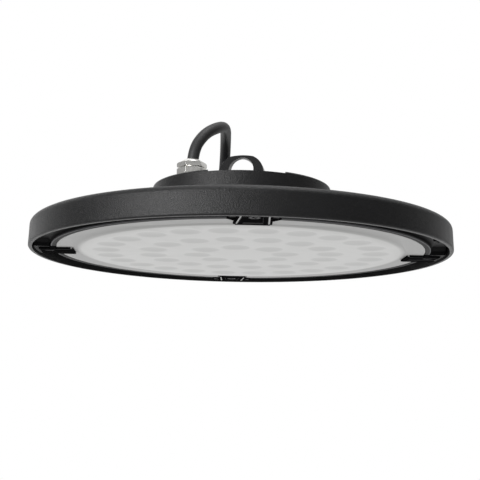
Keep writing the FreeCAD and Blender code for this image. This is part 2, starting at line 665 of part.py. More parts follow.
# ---------------------------------------------------------------- cable gland
def make_gland():
    bottom = COVER_TOP_INSIDE + " - locknut_height - 1.5"
    collar = "cable_boss_height + washer_thickness"
    hex_low = collar + " + gland_collar_height"
    hex_high = hex_low + " + gland_hex_height"
    neck = "gland_thread_radius - 1"
    seal_low = hex_high + " - 3.5"
    neck_top = hex_high + " + 3"
    lead = "cord_diameter / 2"

    shape = fuse("gland_outside", [
        cylinder("gland_shank", "gland_thread_radius", bottom, collar, GLAND_X),
        cylinder("gland_collar", "gland_flats / 2 - 0.2", collar, hex_low, GLAND_X),
        chamfered_hexagon("gland_hex", "gland_flats", hex_low, hex_high),
        cylinder("gland_neck", neck, hex_high, neck_top, GLAND_X),
    ])
    bore = cylinder("gland_bore", lead + " + 0.35", bottom + " - 1", neck_top, GLAND_X)
    seat = cylinder("gland_seal_seat", "gland_thread_radius - 2.2", seal_low, neck_top + " + 1", GLAND_X)
    subpart(cut_all("GlandBody", shape, [bore, seat]), "gland_body")

    seal = ring("GlandSeal", "gland_thread_radius - 2.2 - fixing_clearance", lead + " + fixing_clearance",
                seal_low, neck_top + " - 0.2", GLAND_X)
    subpart(seal, "gland_seal")

    cap_low = hex_high + " + gland_gap"
    cap_mid = cap_low + " + cap_hex_height"
    cap_top = cap_low + " + cap_height"
    rounding = primitive("Sphere", "cap_ball", Radius="cap_height * 1.75", Placement__Base__x=GLAND_X,
                         Placement__Base__z=cap_top + " - cap_height * 1.5")
    trunk = cylinder("cap_trunk", "gland_flats / 2", cap_low + " + 1", cap_top, GLAND_X)
    crown_top = common("cap_crown", [trunk, rounding])
    cap = fuse("cap_outside", [chamfered_hexagon("cap_hex", "gland_flats", cap_low, cap_mid), crown_top])
    hollow = cylinder("cap_hollow", neck + " + fixing_clearance", cap_low + " - 1",
                      neck_top + " + fixing_clearance", GLAND_X)
    mouth = cylinder("cap_mouth", lead + " + 0.35", cap_low, cap_top + " + 1", GLAND_X)
    subpart(cut_all("GlandCap", cap, [hollow, mouth]), "gland_cap")

    washer = ring("GlandWasher", "gland_thread_radius + 2.4", "gland_thread_radius + fixing_clearance",
                  "cable_boss_height", collar, GLAND_X)
    subpart(washer, "gland_washer")
    nut_low = COVER_TOP_INSIDE + " - locknut_height"
    thread = cylinder("locknut_thread", "gland_thread_radius + fixing_clearance", nut_low + " - 1",
                      COVER_TOP_INSIDE + " + 1", GLAND_X)
    nut = chamfered_hexagon("locknut_hex", "locknut_flats", nut_low, COVER_TOP_INSIDE)
    subpart(cut("GlandLocknut", nut, thread), "gland_locknut")


def chamfered_hexagon(name, flats, bottom, top):
    """A nut's outside: a hexagon whose corners are turned away at both ends."""
    bar = hexagon(name + "_bar", flats, bottom, top, GLAND_X, "gland_turn")
    corner = "((%s) / 2 / cos(30))" % flats
    turned = primitive("Cylinder", name + "_turned", Radius=corner, Height="(%s) - (%s)" % (top, bottom),
                       Placement__Base__x=GLAND_X, Placement__Base__z=bottom)
    doc.recompute()
    ends = doc.addObject("Part::Chamfer", name + "_ends")
    ends.Base = turned
    amount = size("gland_chamfer")
    rims = [i + 1 for i, e in enumerate(turned.Shape.Edges) if isinstance(e.Curve, Part.Circle)]
    ends.Edges = [(i, amount * 0.6, amount) for i in rims]
    return common(name, [bar, ends])


# ---------------------------------------------------------------- mains lead
# The route starts inside the gland, bends over behind the eye and comes down to lie on the fins.
CORD_ROUTE = [
    (-36.6, 0.0, 58.0), (-36.6, 0.0, 76.0), (-28.3, 5.1, 91.1), (-17.6, 16.5, 100.2),
    (-11.1, 36.5, 106.1), (-10.0, 59.2, 103.3), (-9.7, 77.6, 89.8), (-11.0, 87.9, 68.2),
    (-20.8, 91.5, 48.9), (-36.8, 91.8, 35.4), (-56.6, 86.6, 28.8), (-75.5, 72.3, 28.0),
    (-90.5, 49.7, 28.0), (-98.9, 24.0, 28.0), (-99.7, -3.0, 28.0), (-95.3, -29.0, 28.0),
]


def cord_path(points):
    """Straight runs joined by tangent arcs, each arc as large as its two runs allow."""
    spots = [Vector(*p) for p in points]
    edges = []
    radii = []
    last = spots[0]
    for before, corner, after in zip(spots, spots[1:], spots[2:]):
        back = before - corner
        onward = after - corner
        reach = 0.45 * min(back.Length, onward.Length)
        turn = math.pi - back.getAngle(onward)
        radius = reach / math.tan(turn / 2)
        radii.append(radius)
        start = corner + back.normalize() * reach
        end = corner + onward.normalize() * reach
        middle = corner + (back + onward).normalize() * (radius / math.cos(turn / 2) - radius)
        edges.append(Part.LineSegment(last, start).toShape())
        edges.append(Part.Arc(start, middle, end).toShape())
        last = end
    edges.append(Part.LineSegment(last, spots[-1]).toShape())
    return Part.Wire(edges), radii


def make_cord():
    radius = size("cord_diameter") / 2
    path, radii = cord_path(CORD_ROUTE)
    start = Vector(*CORD_ROUTE[0])
    heading = (Vector(*CORD_ROUTE[1]) - start).normalize()
    section = Part.Wire(Part.Circle(start, heading, radius).toShape())
    tube = path.makePipeShell([section], True, False)
    wanted = math.pi * radius * radius * path.Length
    print("cord length %.1f, radii %s" % (path.Length, [round(r) for r in radii]))
    if abs(tube.Volume / wanted - 1) > 0.005:
        raise RuntimeError("the cord's volume is wrong")
    cord = doc.addObject("Part::Feature", "PowerCord")
    cord.Shape = tube
    subpart(cord, "power_cord")

    # the stripped end: three cores with crimped ferrules, side by side
    end = Vector(*CORD_ROUTE[-1])
    ahead = (end - Vector(*CORD_ROUTE[-2])).normalize()
    across = ahead.cross(Vector(0, 0, 1)).normalize()
    core = size("core_diameter") / 2
    tip = size("ferrule_diameter") / 2
    cores = []
    ferrules = []
    for place in (-1, 0, 1):
        foot = end + across * place * (2 * core + 0.1)
        reach = foot + ahead * size("core_length")
        cores.append(Part.makeCylinder(core, size("core_length"), foot, ahead))
        ferrules.append(Part.makeCylinder(tip, size("ferrule_length"), reach, ahead))
    ends = ((cores, "CordCores", "cord_cores"), (ferrules, "CordFerrules", "cord_ferrules"))
    for shapes, name, label in ends:
        group = doc.addObject("Part::Feature", name)
        group.Shape = Part.makeCompound(shapes)
        subpart(group, label)

    # the lead's inner end, down to the terminal block
    subpart(cylinder("InnerLead", "cord_diameter / 2", INNER_LEAD_END, "%g" % CORD_ROUTE[0][2], GLAND_X),
            "inner_lead")
    cores = [cylinder("inner_core_%d" % i, "core_diameter / 2", "crown_height + block_height",
                      INNER_LEAD_END, GLAND_X, "%d * (core_diameter + 0.1)" % (i - 1)) for i in range(3)]
    subpart(compound("InnerCores", cores), "inner_cores")


def compound(name, pieces):
    group = doc.addObject("Part::Compound", name)
    group.Links = pieces
    return group


# ---------------------------------------------------------------- driver and wiring
def make_driver():
    x_low = "driver_offset - driver_length / 2"
    x_high = "driver_offset + driver_length / 2"
    top = "crown_height + driver_height"
    case = block("driver_case", (x_low, "0 - driver_width / 2", "crown_height"),
                 (x_high, "driver_width / 2", top))
    well = block("driver_well", (x_low + " + driver_flange", "0 - driver_width / 2 + driver_flange",
                                 top + " - 1"),
                 (x_high + " - driver_flange", "driver_width / 2 - driver_flange", top + " + 1"))
    sockets = [cylinder("driver_socket_%d" % i, "small_screw + fixing_clearance", "crown_height - 1",
                        "crown_height + 7", "driver_offset", "%d * (driver_width / 2 - 4)" % side)
               for i, side in enumerate((-1, 1))]
    subpart(cut_all("LedDriver", case, [well] + sockets), "led_driver")

    x_low = GLAND_X + " - block_length / 2"
    x_high = GLAND_X + " + block_length / 2"
    base = block("terminal_base", (x_low, "0 - block_width / 2", "crown_height"),
                 (x_high, "block_width / 2", "crown_height + block_height"))
    slots = [block("terminal_slot_%d" % i,
                   (x_low + " - 1", "%g * block_width - 0.5" % place, "crown_height + block_height - 2"),
                   (x_high + " + 1", "%g * block_width + 0.5" % place, "crown_height + block_height + 1"))
             for i, place in enumerate((-0.3, 0.3))]
    subpart(cut_all("TerminalBlock", base, slots), "terminal_block")

    leads = []
    for i in range(3):
        lead = primitive("Cylinder", "driver_lead_%d" % i, Radius="lead_diameter / 2",
                         Height="driver_offset - driver_length / 2 + gland_offset - block_length / 2",
                         Placement__Base__x=x_high, Placement__Base__y="%d * block_width / 5" % (i - 1),
                         Placement__Base__z="crown_height + block_height / 2")
        lead.Placement.Rotation = Rotation(Vector(0, 1, 0), 90)
        leads.append(lead)
    subpart(compound("DriverLeads", leads), "driver_leads")

    outside = fuse("grommet_outside", [
        cylinder("grommet_flange", "grommet_radius", HUB_UNDERSIDE + " - 1", HUB_UNDERSIDE),
        cylinder("grommet_barrel", "grommet_radius - 1.5 - fixing_clearance", HUB_UNDERSIDE + " - 1",
                 "crown_height"),
    ])
    hole = cylinder("grommet_hole", "lead_diameter + passing_clearance", HUB_UNDERSIDE + " - 2",
                    "crown_height + 1")
    subpart(cut("WireGrommet", outside, hole), "wire_grommet")
    leads = [cylinder("dc_lead_%d" % i, "lead_diameter / 2", BOARD_BOTTOM, "crown_height", "0",
                      "%d * (lead_diameter / 2 + 0.1)" % side) for i, side in enumerate((-1, 1))]
    subpart(compound("DcLeads", leads), "dc_leads")


# ---------------------------------------------------------------- LED board
def holes_in_board(name, radius, bottom, top):
    hole = cylinder(name + "_first", radius, "(%s) - 1" % bottom, "(%s) + 1" % top,
                    "board_screw_circle * cos(%s)" % BOARD_SCREW_TURN,
                    "board_screw_circle * sin(%s)" % BOARD_SCREW_TURN)
    doc.recompute()
    shapes = []
    count = int(size("board_screw_count"))
    for i in range(count):
        shape = hole.Shape.copy()
        shape.rotate(Vector(0, 0, 0), Vector(0, 0, 1), 360.0 * i / count)
        shapes.append(shape)
    group = doc.addObject("Part::Feature", name)
    group.Shape = Part.makeCompound(shapes)
    return group


def make_board():
    passing = "small_screw + passing_clearance"
    board_top = "(%s) - pad_thickness" % PLATE_BOTTOM
    disc = ring("board_disc", "board_radius", "board_hole", BOARD_BOTTOM, board_top)
    holes = holes_in_board("board_holes", passing, BOARD_BOTTOM, board_top)
    subpart(cut("LedBoard", disc, holes), "led_board")
    disc = ring("pad_disc", "board_radius - 1", "board_hole + 1", board_top, PLATE_BOTTOM)
    subpart(cut("ThermalPad", disc, holes_in_board("pad_holes", passing, board_top, PLATE_BOTTOM)),
            "thermal_pad")

    high = size(BOARD_BOTTOM)
    side = size("chip_size")
    tall = size("chip_height")
    chips = []
    for number in (1, 2, 3):
        radius = size("optic_pitch") * number
        count = int(size("optic_count")) * number
        for i in range(count):
            chip = Part.makeBox(side, side, tall, Vector(radius - side / 2, -side / 2, high - tall))
            chip.rotate(Vector(0, 0, 0), Vector(0, 0, 1), 360.0 * i / count - size("optic_turn"))
            chips.append(chip)
    group = doc.addObject("Part::Feature", "LedChips")
    group.Shape = Part.makeCompound(chips)
    subpart(group, "led_chips")
    half = "terminal_size / 2"
    pads = block("BoardTerminal", ("0 - " + half, "0 - " + half, "(%s) - terminal_height" % BOARD_BOTTOM),
                 (half, half, BOARD_BOTTOM))
    subpart(pads, "board_terminal")
    subpart(ring("LensGasket", "lens_gasket_radius + lens_gasket_width", "lens_gasket_radius", "lens_top",
                 PLATE_BOTTOM), "lens_gasket")
    subpart(ring("CoverGasket", "cover_radius - 0.2", "cover_radius - gasket_width", "crown_height",
                 COVER_BOTTOM), "cover_gasket")


# ---------------------------------------------------------------- screws
def screw(shank, head, head_height, seat, tip, countersunk=False):
    """A screw on Z whose head lies below its seat and whose shank rises to its tip, or the reverse."""
    up = 1 if tip > seat else -1
    axis = Vector(0, 0, up)
    if countersunk:
        top = Part.makeCone(head, shank, head - shank, Vector(0, 0, seat), axis)
        recess = Part.makeCylinder(shank * 0.6, 1.2, Vector(0, 0, seat - 0.01 * up), axis)
    else:
        top = Part.makeCylinder(head, head_height, Vector(0, 0, seat - head_height * up), axis)
        foot = Vector(0, 0, seat - head_height * up)
        recess = Part.makeCylinder(shank * 0.7, head_height * 0.6, foot, axis)
    stem = Part.makeCylinder(shank, abs(tip - seat), Vector(0, 0, seat), axis)
    return top.fuse(stem).cut(recess).removeSplitter()


def screw_group(name, label, one, spots):
    shapes = []
    for x, y in spots:
        shape = one.copy()
        shape.translate(Vector(x, y, 0))
        shapes.append(shape)
    group = doc.addObject("Part::Feature", name)
    group.Shape = Part.makeCompound(shapes)
    subpart(group, label)


def on_circle(radius, count, first):
    angles = [math.radians(first + 360.0 * i / count) for i in range(count)]
    return [(radius * math.cos(a), radius * math.sin(a)) for a in angles]


def make_screws():
    main = size("main_screw")
    small = size("small_screw")
    plate_top = size(PLATE_TOP)
    plate_bottom = size(PLATE_BOTTOM)
    hub = size(HUB_UNDERSIDE)
    count = int(size("tray_screw_count"))
    pillar_reach = size(crown("tray_screw_circle")) - size("housing_wall") - 3
    one = screw(main, main * 1.6, main * 1.2, plate_bottom, pillar_reach)
    screw_group("TrayScrews", "tray_screws", one, on_circle(size("tray_screw_circle"), count, 180.0 / count))
    one = screw(main, size("clip_screw_head"), 0, size("clip_bottom + clip_recess + fixing_clearance * 3"),
                plate_top - 0.3, countersunk=True)
    screw_group("ClipScrews", "clip_screws", one, on_circle(size(CLIP_SCREW_CIRCLE), 4, 0))
    count = int(size("board_screw_count"))
    one = screw(small, small * 1.85, 1.2, size(BOARD_BOTTOM), plate_top - 0.3)
    screw_group("BoardScrews", "board_screws", one,
                on_circle(size("board_screw_circle"), count, size(BOARD_SCREW_TURN)))
    one = screw(main, main * 1.8, main * 1.2, hub, hub + size("cover_screw_reach"))
    screw_group("CoverScrews", "cover_screws", one, on_circle(size("cover_screw_circle"), 4, 45))
    one = screw(small, small * 1.85, 1.6, hub, hub + size("driver_screw_reach"))
    x = size("driver_offset")
    y = size("driver_width / 2 - 4")
    screw_group("DriverScrews", "driver_screws", one, [(x, -y), (x, y)])
    bolt = size("eye_screw")
    one = screw(bolt, bolt * 1.7, bolt * 2, size(BAND_FLOOR + " + eye_base_thickness"),
                size(COVER_TOP_INSIDE) - 2.2)
    along = size("eye_screw_spacing / 2 * cos(eye_turn)")
    across = size("eye_screw_spacing / 2 * sin(eye_turn)")
    screw_group("EyeScrews", "eye_screws", one, [(-across, -along), (across, along)])


# ---------------------------------------------------------------- build, check and write
def check(item):
    if "Invalid" in item.State or "Error" in item.State:
        raise RuntimeError("%s: %s" % (item.Name, item.getStatusString()))


def main():
    make_top_housing()
    make_led_tray()
    make_lens()
    for number in range(1, 5):
        make_lens_clip(number)
    make_driver_cover()
    make_hanging_eye()
    make_gland()
    make_cord()
    make_driver()
    make_board()
    make_screws()
    doc.recompute()
    for item in doc.Objects:
        check(item)
    os.makedirs("parts", exist_ok=True)
    for item in PARTS:
        shape = item.Shape
        if shape.isNull() or not shape.isValid() or not shape.Solids:
            raise RuntimeError(item.Label + " has no valid shape")
        print("%-16s %3d solids %9.0f mm3" % (item.Label, len(shape.Solids), shape.Volume))
        shape.exportStep("parts/%s.step" % item.Label)


main()
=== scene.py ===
import json
import math

import bmesh
import bpy
from bpy.props import FloatProperty, FloatVectorProperty, IntProperty, PointerProperty
from mathutils import Matrix, Vector


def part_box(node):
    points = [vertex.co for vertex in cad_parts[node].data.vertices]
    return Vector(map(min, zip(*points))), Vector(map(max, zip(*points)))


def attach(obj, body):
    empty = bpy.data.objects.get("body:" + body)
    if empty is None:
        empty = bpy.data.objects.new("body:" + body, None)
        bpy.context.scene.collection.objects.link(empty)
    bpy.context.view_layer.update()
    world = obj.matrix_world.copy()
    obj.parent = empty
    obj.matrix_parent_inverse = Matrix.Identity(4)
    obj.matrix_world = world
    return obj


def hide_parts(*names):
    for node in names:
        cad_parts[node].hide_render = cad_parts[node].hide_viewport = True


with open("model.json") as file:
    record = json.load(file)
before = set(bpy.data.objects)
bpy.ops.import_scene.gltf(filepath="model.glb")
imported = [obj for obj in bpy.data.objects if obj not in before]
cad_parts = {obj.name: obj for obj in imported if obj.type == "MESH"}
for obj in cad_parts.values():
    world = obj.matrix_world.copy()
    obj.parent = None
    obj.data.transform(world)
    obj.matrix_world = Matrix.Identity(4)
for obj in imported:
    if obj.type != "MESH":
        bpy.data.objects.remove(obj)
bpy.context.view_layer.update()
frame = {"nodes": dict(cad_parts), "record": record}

bl_info = {
    "name": "Slim high bay light",
    "version": (1, 0, 0),
    "blender": (4, 5, 0),
    "location": "View3D > Sidebar > High bay",
    "description": "Dresses the packed model of a round high bay light and sets it in a pale studio",
    "category": "Object",
}

NODES = frame["nodes"]
MM = 0.001

# The lead's route, from inside the gland, over behind the eye and down on to the fins, in millimetres.
LEAD_ROUTE = [
    (-36.6, 0.0, 58.0), (-36.6, 0.0, 76.0), (-28.3, 5.1, 91.1), (-17.6, 16.5, 100.2),
    (-11.1, 36.5, 106.1), (-10.0, 59.2, 103.3), (-9.7, 77.6, 89.8), (-11.0, 87.9, 68.2),
    (-20.8, 91.5, 48.9), (-36.8, 91.8, 35.4), (-56.6, 86.6, 28.8), (-75.5, 72.3, 28.0),
    (-90.5, 49.7, 28.0), (-98.9, 24.0, 28.0), (-99.7, -3.0, 28.0), (-95.3, -29.0, 28.0),
]
# How CAD meshes are cleaned: near points are joined, flat creases merged and sharp ones rounded.
JOIN_WITHIN = 0.002 * MM
FLAT_BELOW = math.radians(0.3)
ROUND_ABOVE = math.radians(30)
# creases of the crown band and of screw heads that stay sharp
SHARP_ABOVE = math.radians(35)
# from one core of the lead to the next
CORE_PITCH = 2.5 * MM
# The housing's crown, an arc in section past a reach from Z, and the thin band over it, in millimetres.
CROWN = {
    "arc": 176.3,
    "centre": 102.3,
    "centre_height": -152.3,
    "beyond": 110.0,
    "tolerance": 0.02,
    "cover": 0.04,
    "depth": 0.4,
}
# A lens lug and the black frame round it, in millimetres; "start" and "end" are (reach, half width).
LUG = {
    "start": (119.0, 10.5),
    "end": (142.8, 8.9),
    "cad_start": 117.6,
    "cad_half": 12.0,
    "trimmed_start": 119.2,
    "tolerance": 0.05,
    "bar_half": 10.8,
    "bar_reach": 0.3,
    "bar_width": 1.5,
    "bar_bottom": 0.15,
    "bar_top": 1.75,
    "bar_rounding": 0.55,
    "cheek": 1.4,
    "frame_bottom": 0.35,
    "frame_top": 3.2,
    "ramp": 6.5,
    "ring": (130.6, 134.6),
    "ring_bottom": 1.5,
}
# Where painted highlights lie on the matt coat, in millimetres: at the ring's low outer edge, and on clip
# edges past a reach.
EDGE_HIGHLIGHTS = {"ring_edge": 134.1, "ring_top": 2.4, "ring_width": 0.7, "clips_beyond": 121.2}
# The lamps' places, widths and heights, in metres; each lamp shines at the middle of the rim.
LAMPS = {
    "key": ((-0.93, -1.15, 0.34), 1.1, 0.7),
    "top": ((0.15, -0.25, 1.3), 0.9, 0.9),
    "panel": ((-0.12, -1.5, 0.26), 0.5, 0.3),
    "back": ((0.1, 1.1, -0.40), 1.2, 0.2),
}


# ---------------------------------------------------------------- settings
class StageSettings(bpy.types.PropertyGroup):
    """Camera, floor and lamps."""
    distance: FloatProperty(name="Distance", description="From the camera to the middle of the rim",
                            default=0.690, unit="LENGTH")
    azimuth: FloatProperty(name="Azimuth", description="Turn of the camera round the light",
                           default=math.radians(-3.2), subtype="ANGLE")
    elevation: FloatProperty(name="Elevation", description="Camera's height angle, negative below the rim",
                             default=math.radians(-8.839), subtype="ANGLE")
    roll: FloatProperty(name="Roll", description="Turn of the camera about its own axis",
                        default=math.radians(0.85), subtype="ANGLE")
    lens: FloatProperty(name="Lens", description="Focal length on a 36 mm sensor", default=71.87, min=10.0)
    shift_x: FloatProperty(name="Shift X", description="Sideways framing", default=-0.0016)
    shift_y: FloatProperty(name="Shift Y", description="Upward framing", default=0.0332)
    floor_drop: FloatProperty(name="Floor drop", description="How far the floor lies below the rim",
                              default=2.5, unit="LENGTH")
    floor_radius: FloatProperty(name="Floor radius", description="Radius of the floor's disc",
                                default=12.0, unit="LENGTH")
    cloth_level: FloatProperty(name="Cloth level", description="Brightness of the dark cloth in mirrors",
                               default=0.08, min=0.0, max=1.0)
    ambient: FloatProperty(name="Ambient", description="Strength of the surrounding light on matt surfaces",
                           default=0.76, min=0.0)
    key_power: FloatProperty(name="Key power", description="Power of the large lamp on the left",
                             default=33.0, unit="POWER")
    back_power: FloatProperty(name="Back power", description="Power of the low lamp behind the light",
                              default=0.4, unit="POWER")
    panel_power: FloatProperty(name="Panel power", description="Power of the small panel in front",
                               default=0.4, unit="POWER")
    top_power: FloatProperty(name="Top power", description="Power of the lamp overhead", default=8.0,
                             unit="POWER")


class FinishSettings(bpy.types.PropertyGroup):
    """Colours of the main finishes."""
    coat: FloatVectorProperty(name="Coat", description="Black powder coat", subtype="COLOR", size=3,
                              default=(0.0045, 0.0045, 0.0048))
    tray: FloatVectorProperty(name="Tray", description="Matt coat of the tray's channel", subtype="COLOR",
                              size=3, default=(0.006, 0.006, 0.0063))
    lens: FloatVectorProperty(name="Lens", description="Frosted lens", subtype="COLOR", size=3,
                              default=(0.67, 0.67, 0.66))
    nickel: FloatVectorProperty(name="Nickel", description="Plating of the gland", subtype="COLOR", size=3,
                                default=(0.88, 0.87, 0.84))
    jacket: FloatVectorProperty(name="Jacket", description="Rubber jacket of the lead", subtype="COLOR",
                                size=3, default=(0.009, 0.009, 0.0095))


class DetailSettings(bpy.types.PropertyGroup):
    """Sizes of the small details."""
    edge: FloatProperty(name="Edge", description="Rounding of the castings' edges", default=0.45 * MM,
                        unit="LENGTH")
    smooth_angle: FloatProperty(name="Smooth angle", description="Sharpest crease that is shaded smooth",
                                default=math.radians(28), subtype="ANGLE")
    recess_width: FloatProperty(name="Recess width", description="Width of a cross recess's arms",
                                default=0.22, subtype="FACTOR")
    optic_radius: FloatProperty(name="Optic radius", description="Radius of an optic's dish",
                                default=10.6 * MM, unit="LENGTH")
    optic_pitch: FloatProperty(name="Optic pitch", description="From one ring of optics to the next",
                               default=32.0 * MM, unit="LENGTH")
    optic_turn: FloatProperty(name="Optic turn", description="Turn of the optics from the lens clips",
                              default=math.radians(9.8), subtype="ANGLE")
    optic_count: IntProperty(name="Optic count", description="Optics in ring 1; each ring adds as many",
                             default=8, min=3)
    optic_rings: IntProperty(name="Optic rings", description="Rings of optics", default=3, min=1)
    clip_head: FloatProperty(name="Clip head", description="Radius of a clip screw's head",
                             default=3.4 * MM, unit="LENGTH")
    clip_head_height: FloatProperty(name="Clip head height", description="Height of a clip screw's head",
                                    default=2.0 * MM, unit="LENGTH")
    tray_head: FloatProperty(name="Tray head", description="Radius of a tray screw's head",
                             default=3.2 * MM, unit="LENGTH")
    tray_head_height: FloatProperty(name="Tray head height", description="Height of a tray screw's head",
                                    default=2.4 * MM, unit="LENGTH")
    tray_circle: FloatProperty(name="Tray circle", description="Radius of the circle of tray screws",
                               default=140.5 * MM, unit="LENGTH")
    tray_turn: FloatProperty(name="Tray turn", description="Turn of the tray screws from the lens clips",
                             default=math.radians(22.5), subtype="ANGLE")
    head_sides: IntProperty(name="Head sides", description="Sides of a turned screw head", default=28, min=8)


# ---------------------------------------------------------------- shader maths
class Value:
    """A socket in shader maths: an expression on values adds its Math nodes."""

    def __init__(self, graph, socket):
        self.graph = graph
        self.socket = socket

    def __add__(self, other):
        return self.graph.math("ADD", self, other)

    def __radd__(self, other):
        return self.graph.math("ADD", other, self)

    def __sub__(self, other):
        return self.graph.math("SUBTRACT", self, other)

    def __rsub__(self, other):
        return self.graph.math("SUBTRACT", other, self)

    def __mul__(self, other):
        return self.graph.math("MULTIPLY", self, other)

    def __truediv__(self, other):
        return self.graph.math("DIVIDE", self, other)

    def __pow__(self, other):
        return self.graph.math("POWER", self, other)

    def __gt__(self, other):
        return self.graph.math("GREATER_THAN", self, other)


class Graph:
    """The nodes of one material or of the studio's surroundings, with its shader."""

    def __init__(self, name, owner=None):
        self.material = owner or bpy.data.materials.new(name)
        self.material.use_nodes = True
        self.tree = self.material.node_tree
        self.shader = self.tree.nodes["Background" if owner else "Principled BSDF"]
        self.coordinates = self.node("ShaderNodeTexCoord")
        self.place = self.coordinates.outputs["Generated" if owner else "Object"]

    def node(self, kind, inputs=None, **settings):
        made = self.tree.nodes.new(kind)
        for name, value in settings.items():
            setattr(made, name, value)
        for name, value in (inputs or {}).items():
            self.feed(made.inputs[name], value)
        return made

    def feed(self, socket, value):
        if isinstance(value, Value):
            value = value.socket
        if isinstance(value, bpy.types.NodeSocket):
            self.tree.links.new(value, socket)
        else:
            socket.default_value = value

    def math(self, operation, *values):
        made = self.node("ShaderNodeMath", dict(enumerate(values)), operation=operation)
        return Value(self, made.outputs[0])

    def clamp(self, value):
        """A value held between 0 and 1."""
        return self.math("MINIMUM", self.math("MAXIMUM", value, 0.0), 1.0)

    def noise(self, size, detail=2.0, roughness=0.5, stretch=(1, 1, 1)):
        """Noise whose grains are about a given size, in metres, along the object's own axes."""
        place = self.node("ShaderNodeMapping", {"Vector": self.place, "Scale": stretch}).outputs[0]
        made = self.node("ShaderNodeTexNoise", {"Vector": place, "Scale": 1 / size, "Detail": detail,
                                                "Roughness": roughness})
        return Value(self, made.outputs["Fac"])

    def axis(self, letter):
        made = self.node("ShaderNodeSeparateXYZ", {"Vector": self.place})
        return Value(self, made.outputs[letter])

    def flat_place(self):
        """X, Y and the distance from Z."""
        across = self.axis("X")
        along = self.axis("Y")
        return across, along, (across * across + along * along) ** 0.5

    def mix(self, factor, first, second):
        """Two colours mixed; a colour mix has its own inputs, 6 and 7, and its own output, 2."""
        made = self.node("ShaderNodeMix", data_type="RGBA")
        self.feed(made.inputs[0], factor)
        self.feed(made.inputs[6], first)
        self.feed(made.inputs[7], second)
        return made.outputs[2]

    def stripes(self, value, stops):
        """Plain colours that follow each other as a value rises."""
        made = self.node("ShaderNodeValToRGB")
        made.color_ramp.interpolation = "CONSTANT"
        points = made.color_ramp.elements
        while len(points) < len(stops):
            points.new(1.0)
        for point, (spot, colour) in zip(points, stops):
            point.position = spot
            point.color = (*colour, 1.0)
        self.feed(made.inputs[0], value)
        return made.outputs[0]

    def bump(self, height, depth):
        made = self.node("ShaderNodeBump", {"Height": height, "Distance": depth, "Strength": 1.0})
        self.feed(self.shader.inputs["Normal"], made.outputs[0])

    def set(self, **values):
        for name, value in values.items():
            self.feed(self.shader.inputs[name.replace("_", " ")], value)
        return self.material


def tint(colour, share):
    """A colour made lighter (share over 1) or darker."""
    return (*[min(1.0, c * share) for c in colour], 1.0)


# ---------------------------------------------------------------- finishes
def powder_coat(name, colour, roughness, grain, depth, gloss, ring_highlight_at=None, edge_highlight_beyond=None):
    """Fine-textured powder coat: orange peel, pale specks that are partly dust and partly painted sparkle,
    and uneven sheen.

    It may carry a painted highlight at a low edge that runs round Z at a radius, or on rounded edges beyond
    a radius.
    """
    graph = Graph(name)
    peel = graph.noise(grain, 3.0, 0.6)
    patches = graph.noise(0.03, 2.0)
    # pale specks: partly dust, partly painted sparkle standing for glints off the coat's grain
    dust_and_sparkle = graph.math("MAXIMUM", (graph.noise(0.0013, 1.0) - 0.7) * 4, 0.0)
    colour_patches = graph.mix(patches, tint(colour, 0.85), tint(colour, 1.2))
    base = graph.mix(graph.math("MINIMUM", dust_and_sparkle, 0.02), colour_patches, (0.25, 0.25, 0.24, 1.0))
    if ring_highlight_at:
        # a painted highlight along the ring's low outer edge, where its bevel would catch light
        base = graph.mix(painted_ring_highlight(graph, ring_highlight_at), base, (0.16, 0.16, 0.165, 1.0))
    if edge_highlight_beyond:
        # a painted highlight on rounded edges, where they would catch light
        base = graph.mix(painted_edge_highlight(graph, edge_highlight_beyond), base, (0.09, 0.09, 0.092, 1.0))
    graph.bump(peel, depth)
    return graph.set(Base_Color=base, Roughness=roughness - 0.05 + patches * 0.1, Specular_IOR_Level=gloss)


def painted_ring_highlight(graph, radius):
    """1 on a low edge that runs round Z at a radius, falling to 0 on both sides of it: where a painted
    highlight lies.
    """
    away = graph.math("ABSOLUTE", graph.flat_place()[2] - radius)
    low = graph.math("LESS_THAN", graph.axis("Z"), EDGE_HIGHLIGHTS["ring_top"] * MM)
    return graph.math("MAXIMUM", 1 - away / (EDGE_HIGHLIGHTS["ring_width"] * MM), 0.0) * low


def painted_edge_highlight(graph, radius):
    """1 beyond a radius where a surface is between upright and level, as on a rounded edge: where a painted
    highlight lies.
    """
    facing = graph.node("ShaderNodeSeparateXYZ", {"Vector": graph.coordinates.outputs["Normal"]})
    slope = graph.math("ABSOLUTE", Value(graph, facing.outputs["Z"]))
    rounded = graph.math("MINIMUM", (slope - 0.15) * 6, (0.95 - slope) * 8)
    return graph.clamp(rounded) * (graph.flat_place()[2] > radius)


def frosted_plastic(name, colour):
    """Moulded polycarbonate with a frosted face, a greyer border and painted shade in the optics' dishes."""
    graph = Graph(name)
    frost = graph.noise(0.0005, 2.0, 0.6)
    haze = graph.noise(0.045, 2.0)
    graph.bump(frost, 0.00003)
    base = graph.mix(haze, tint(colour, 0.985), tint(colour, 1.015))
    # past the board's edge no white board lies behind the lens, so its border is greyer
    board_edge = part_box("led_board")[1].x
    fade = 4 * MM
    across, along, reach = graph.flat_place()
    base = graph.mix(graph.clamp((reach - board_edge) / fade), base, tint(colour, 0.57))
    # painted shade: each optic's dish is darkened, as if shaded in its hollow
    base = graph.mix(painted_dish_shade(graph, reach, across, along), base, tint(colour, 0.86))
    return graph.set(Base_Color=base, Roughness=0.42 + frost * 0.12, IOR=1.58, Specular_IOR_Level=0.4)


def painted_dish_shade(graph, reach, across, along):
    """1 in the middle of each optic's dish, falling to 0 at its edge: where painted shade darkens the dish.
    """
    detail = bpy.context.scene.light_detail
    angle = graph.math("ARCTAN2", along, across) + detail.optic_turn
    total = None
    for number in range(1, detail.optic_rings + 1):
        step = 2 * math.pi / (detail.optic_count * number)
        aside = graph.math("WRAP", angle, step / 2, -step / 2) * reach
        outward = reach - number * detail.optic_pitch
        away = (aside * aside + outward * outward) ** 0.5
        mask = graph.clamp((1 - away / detail.optic_radius) * 5.0)
        total = mask if total is None else total + mask
    return total


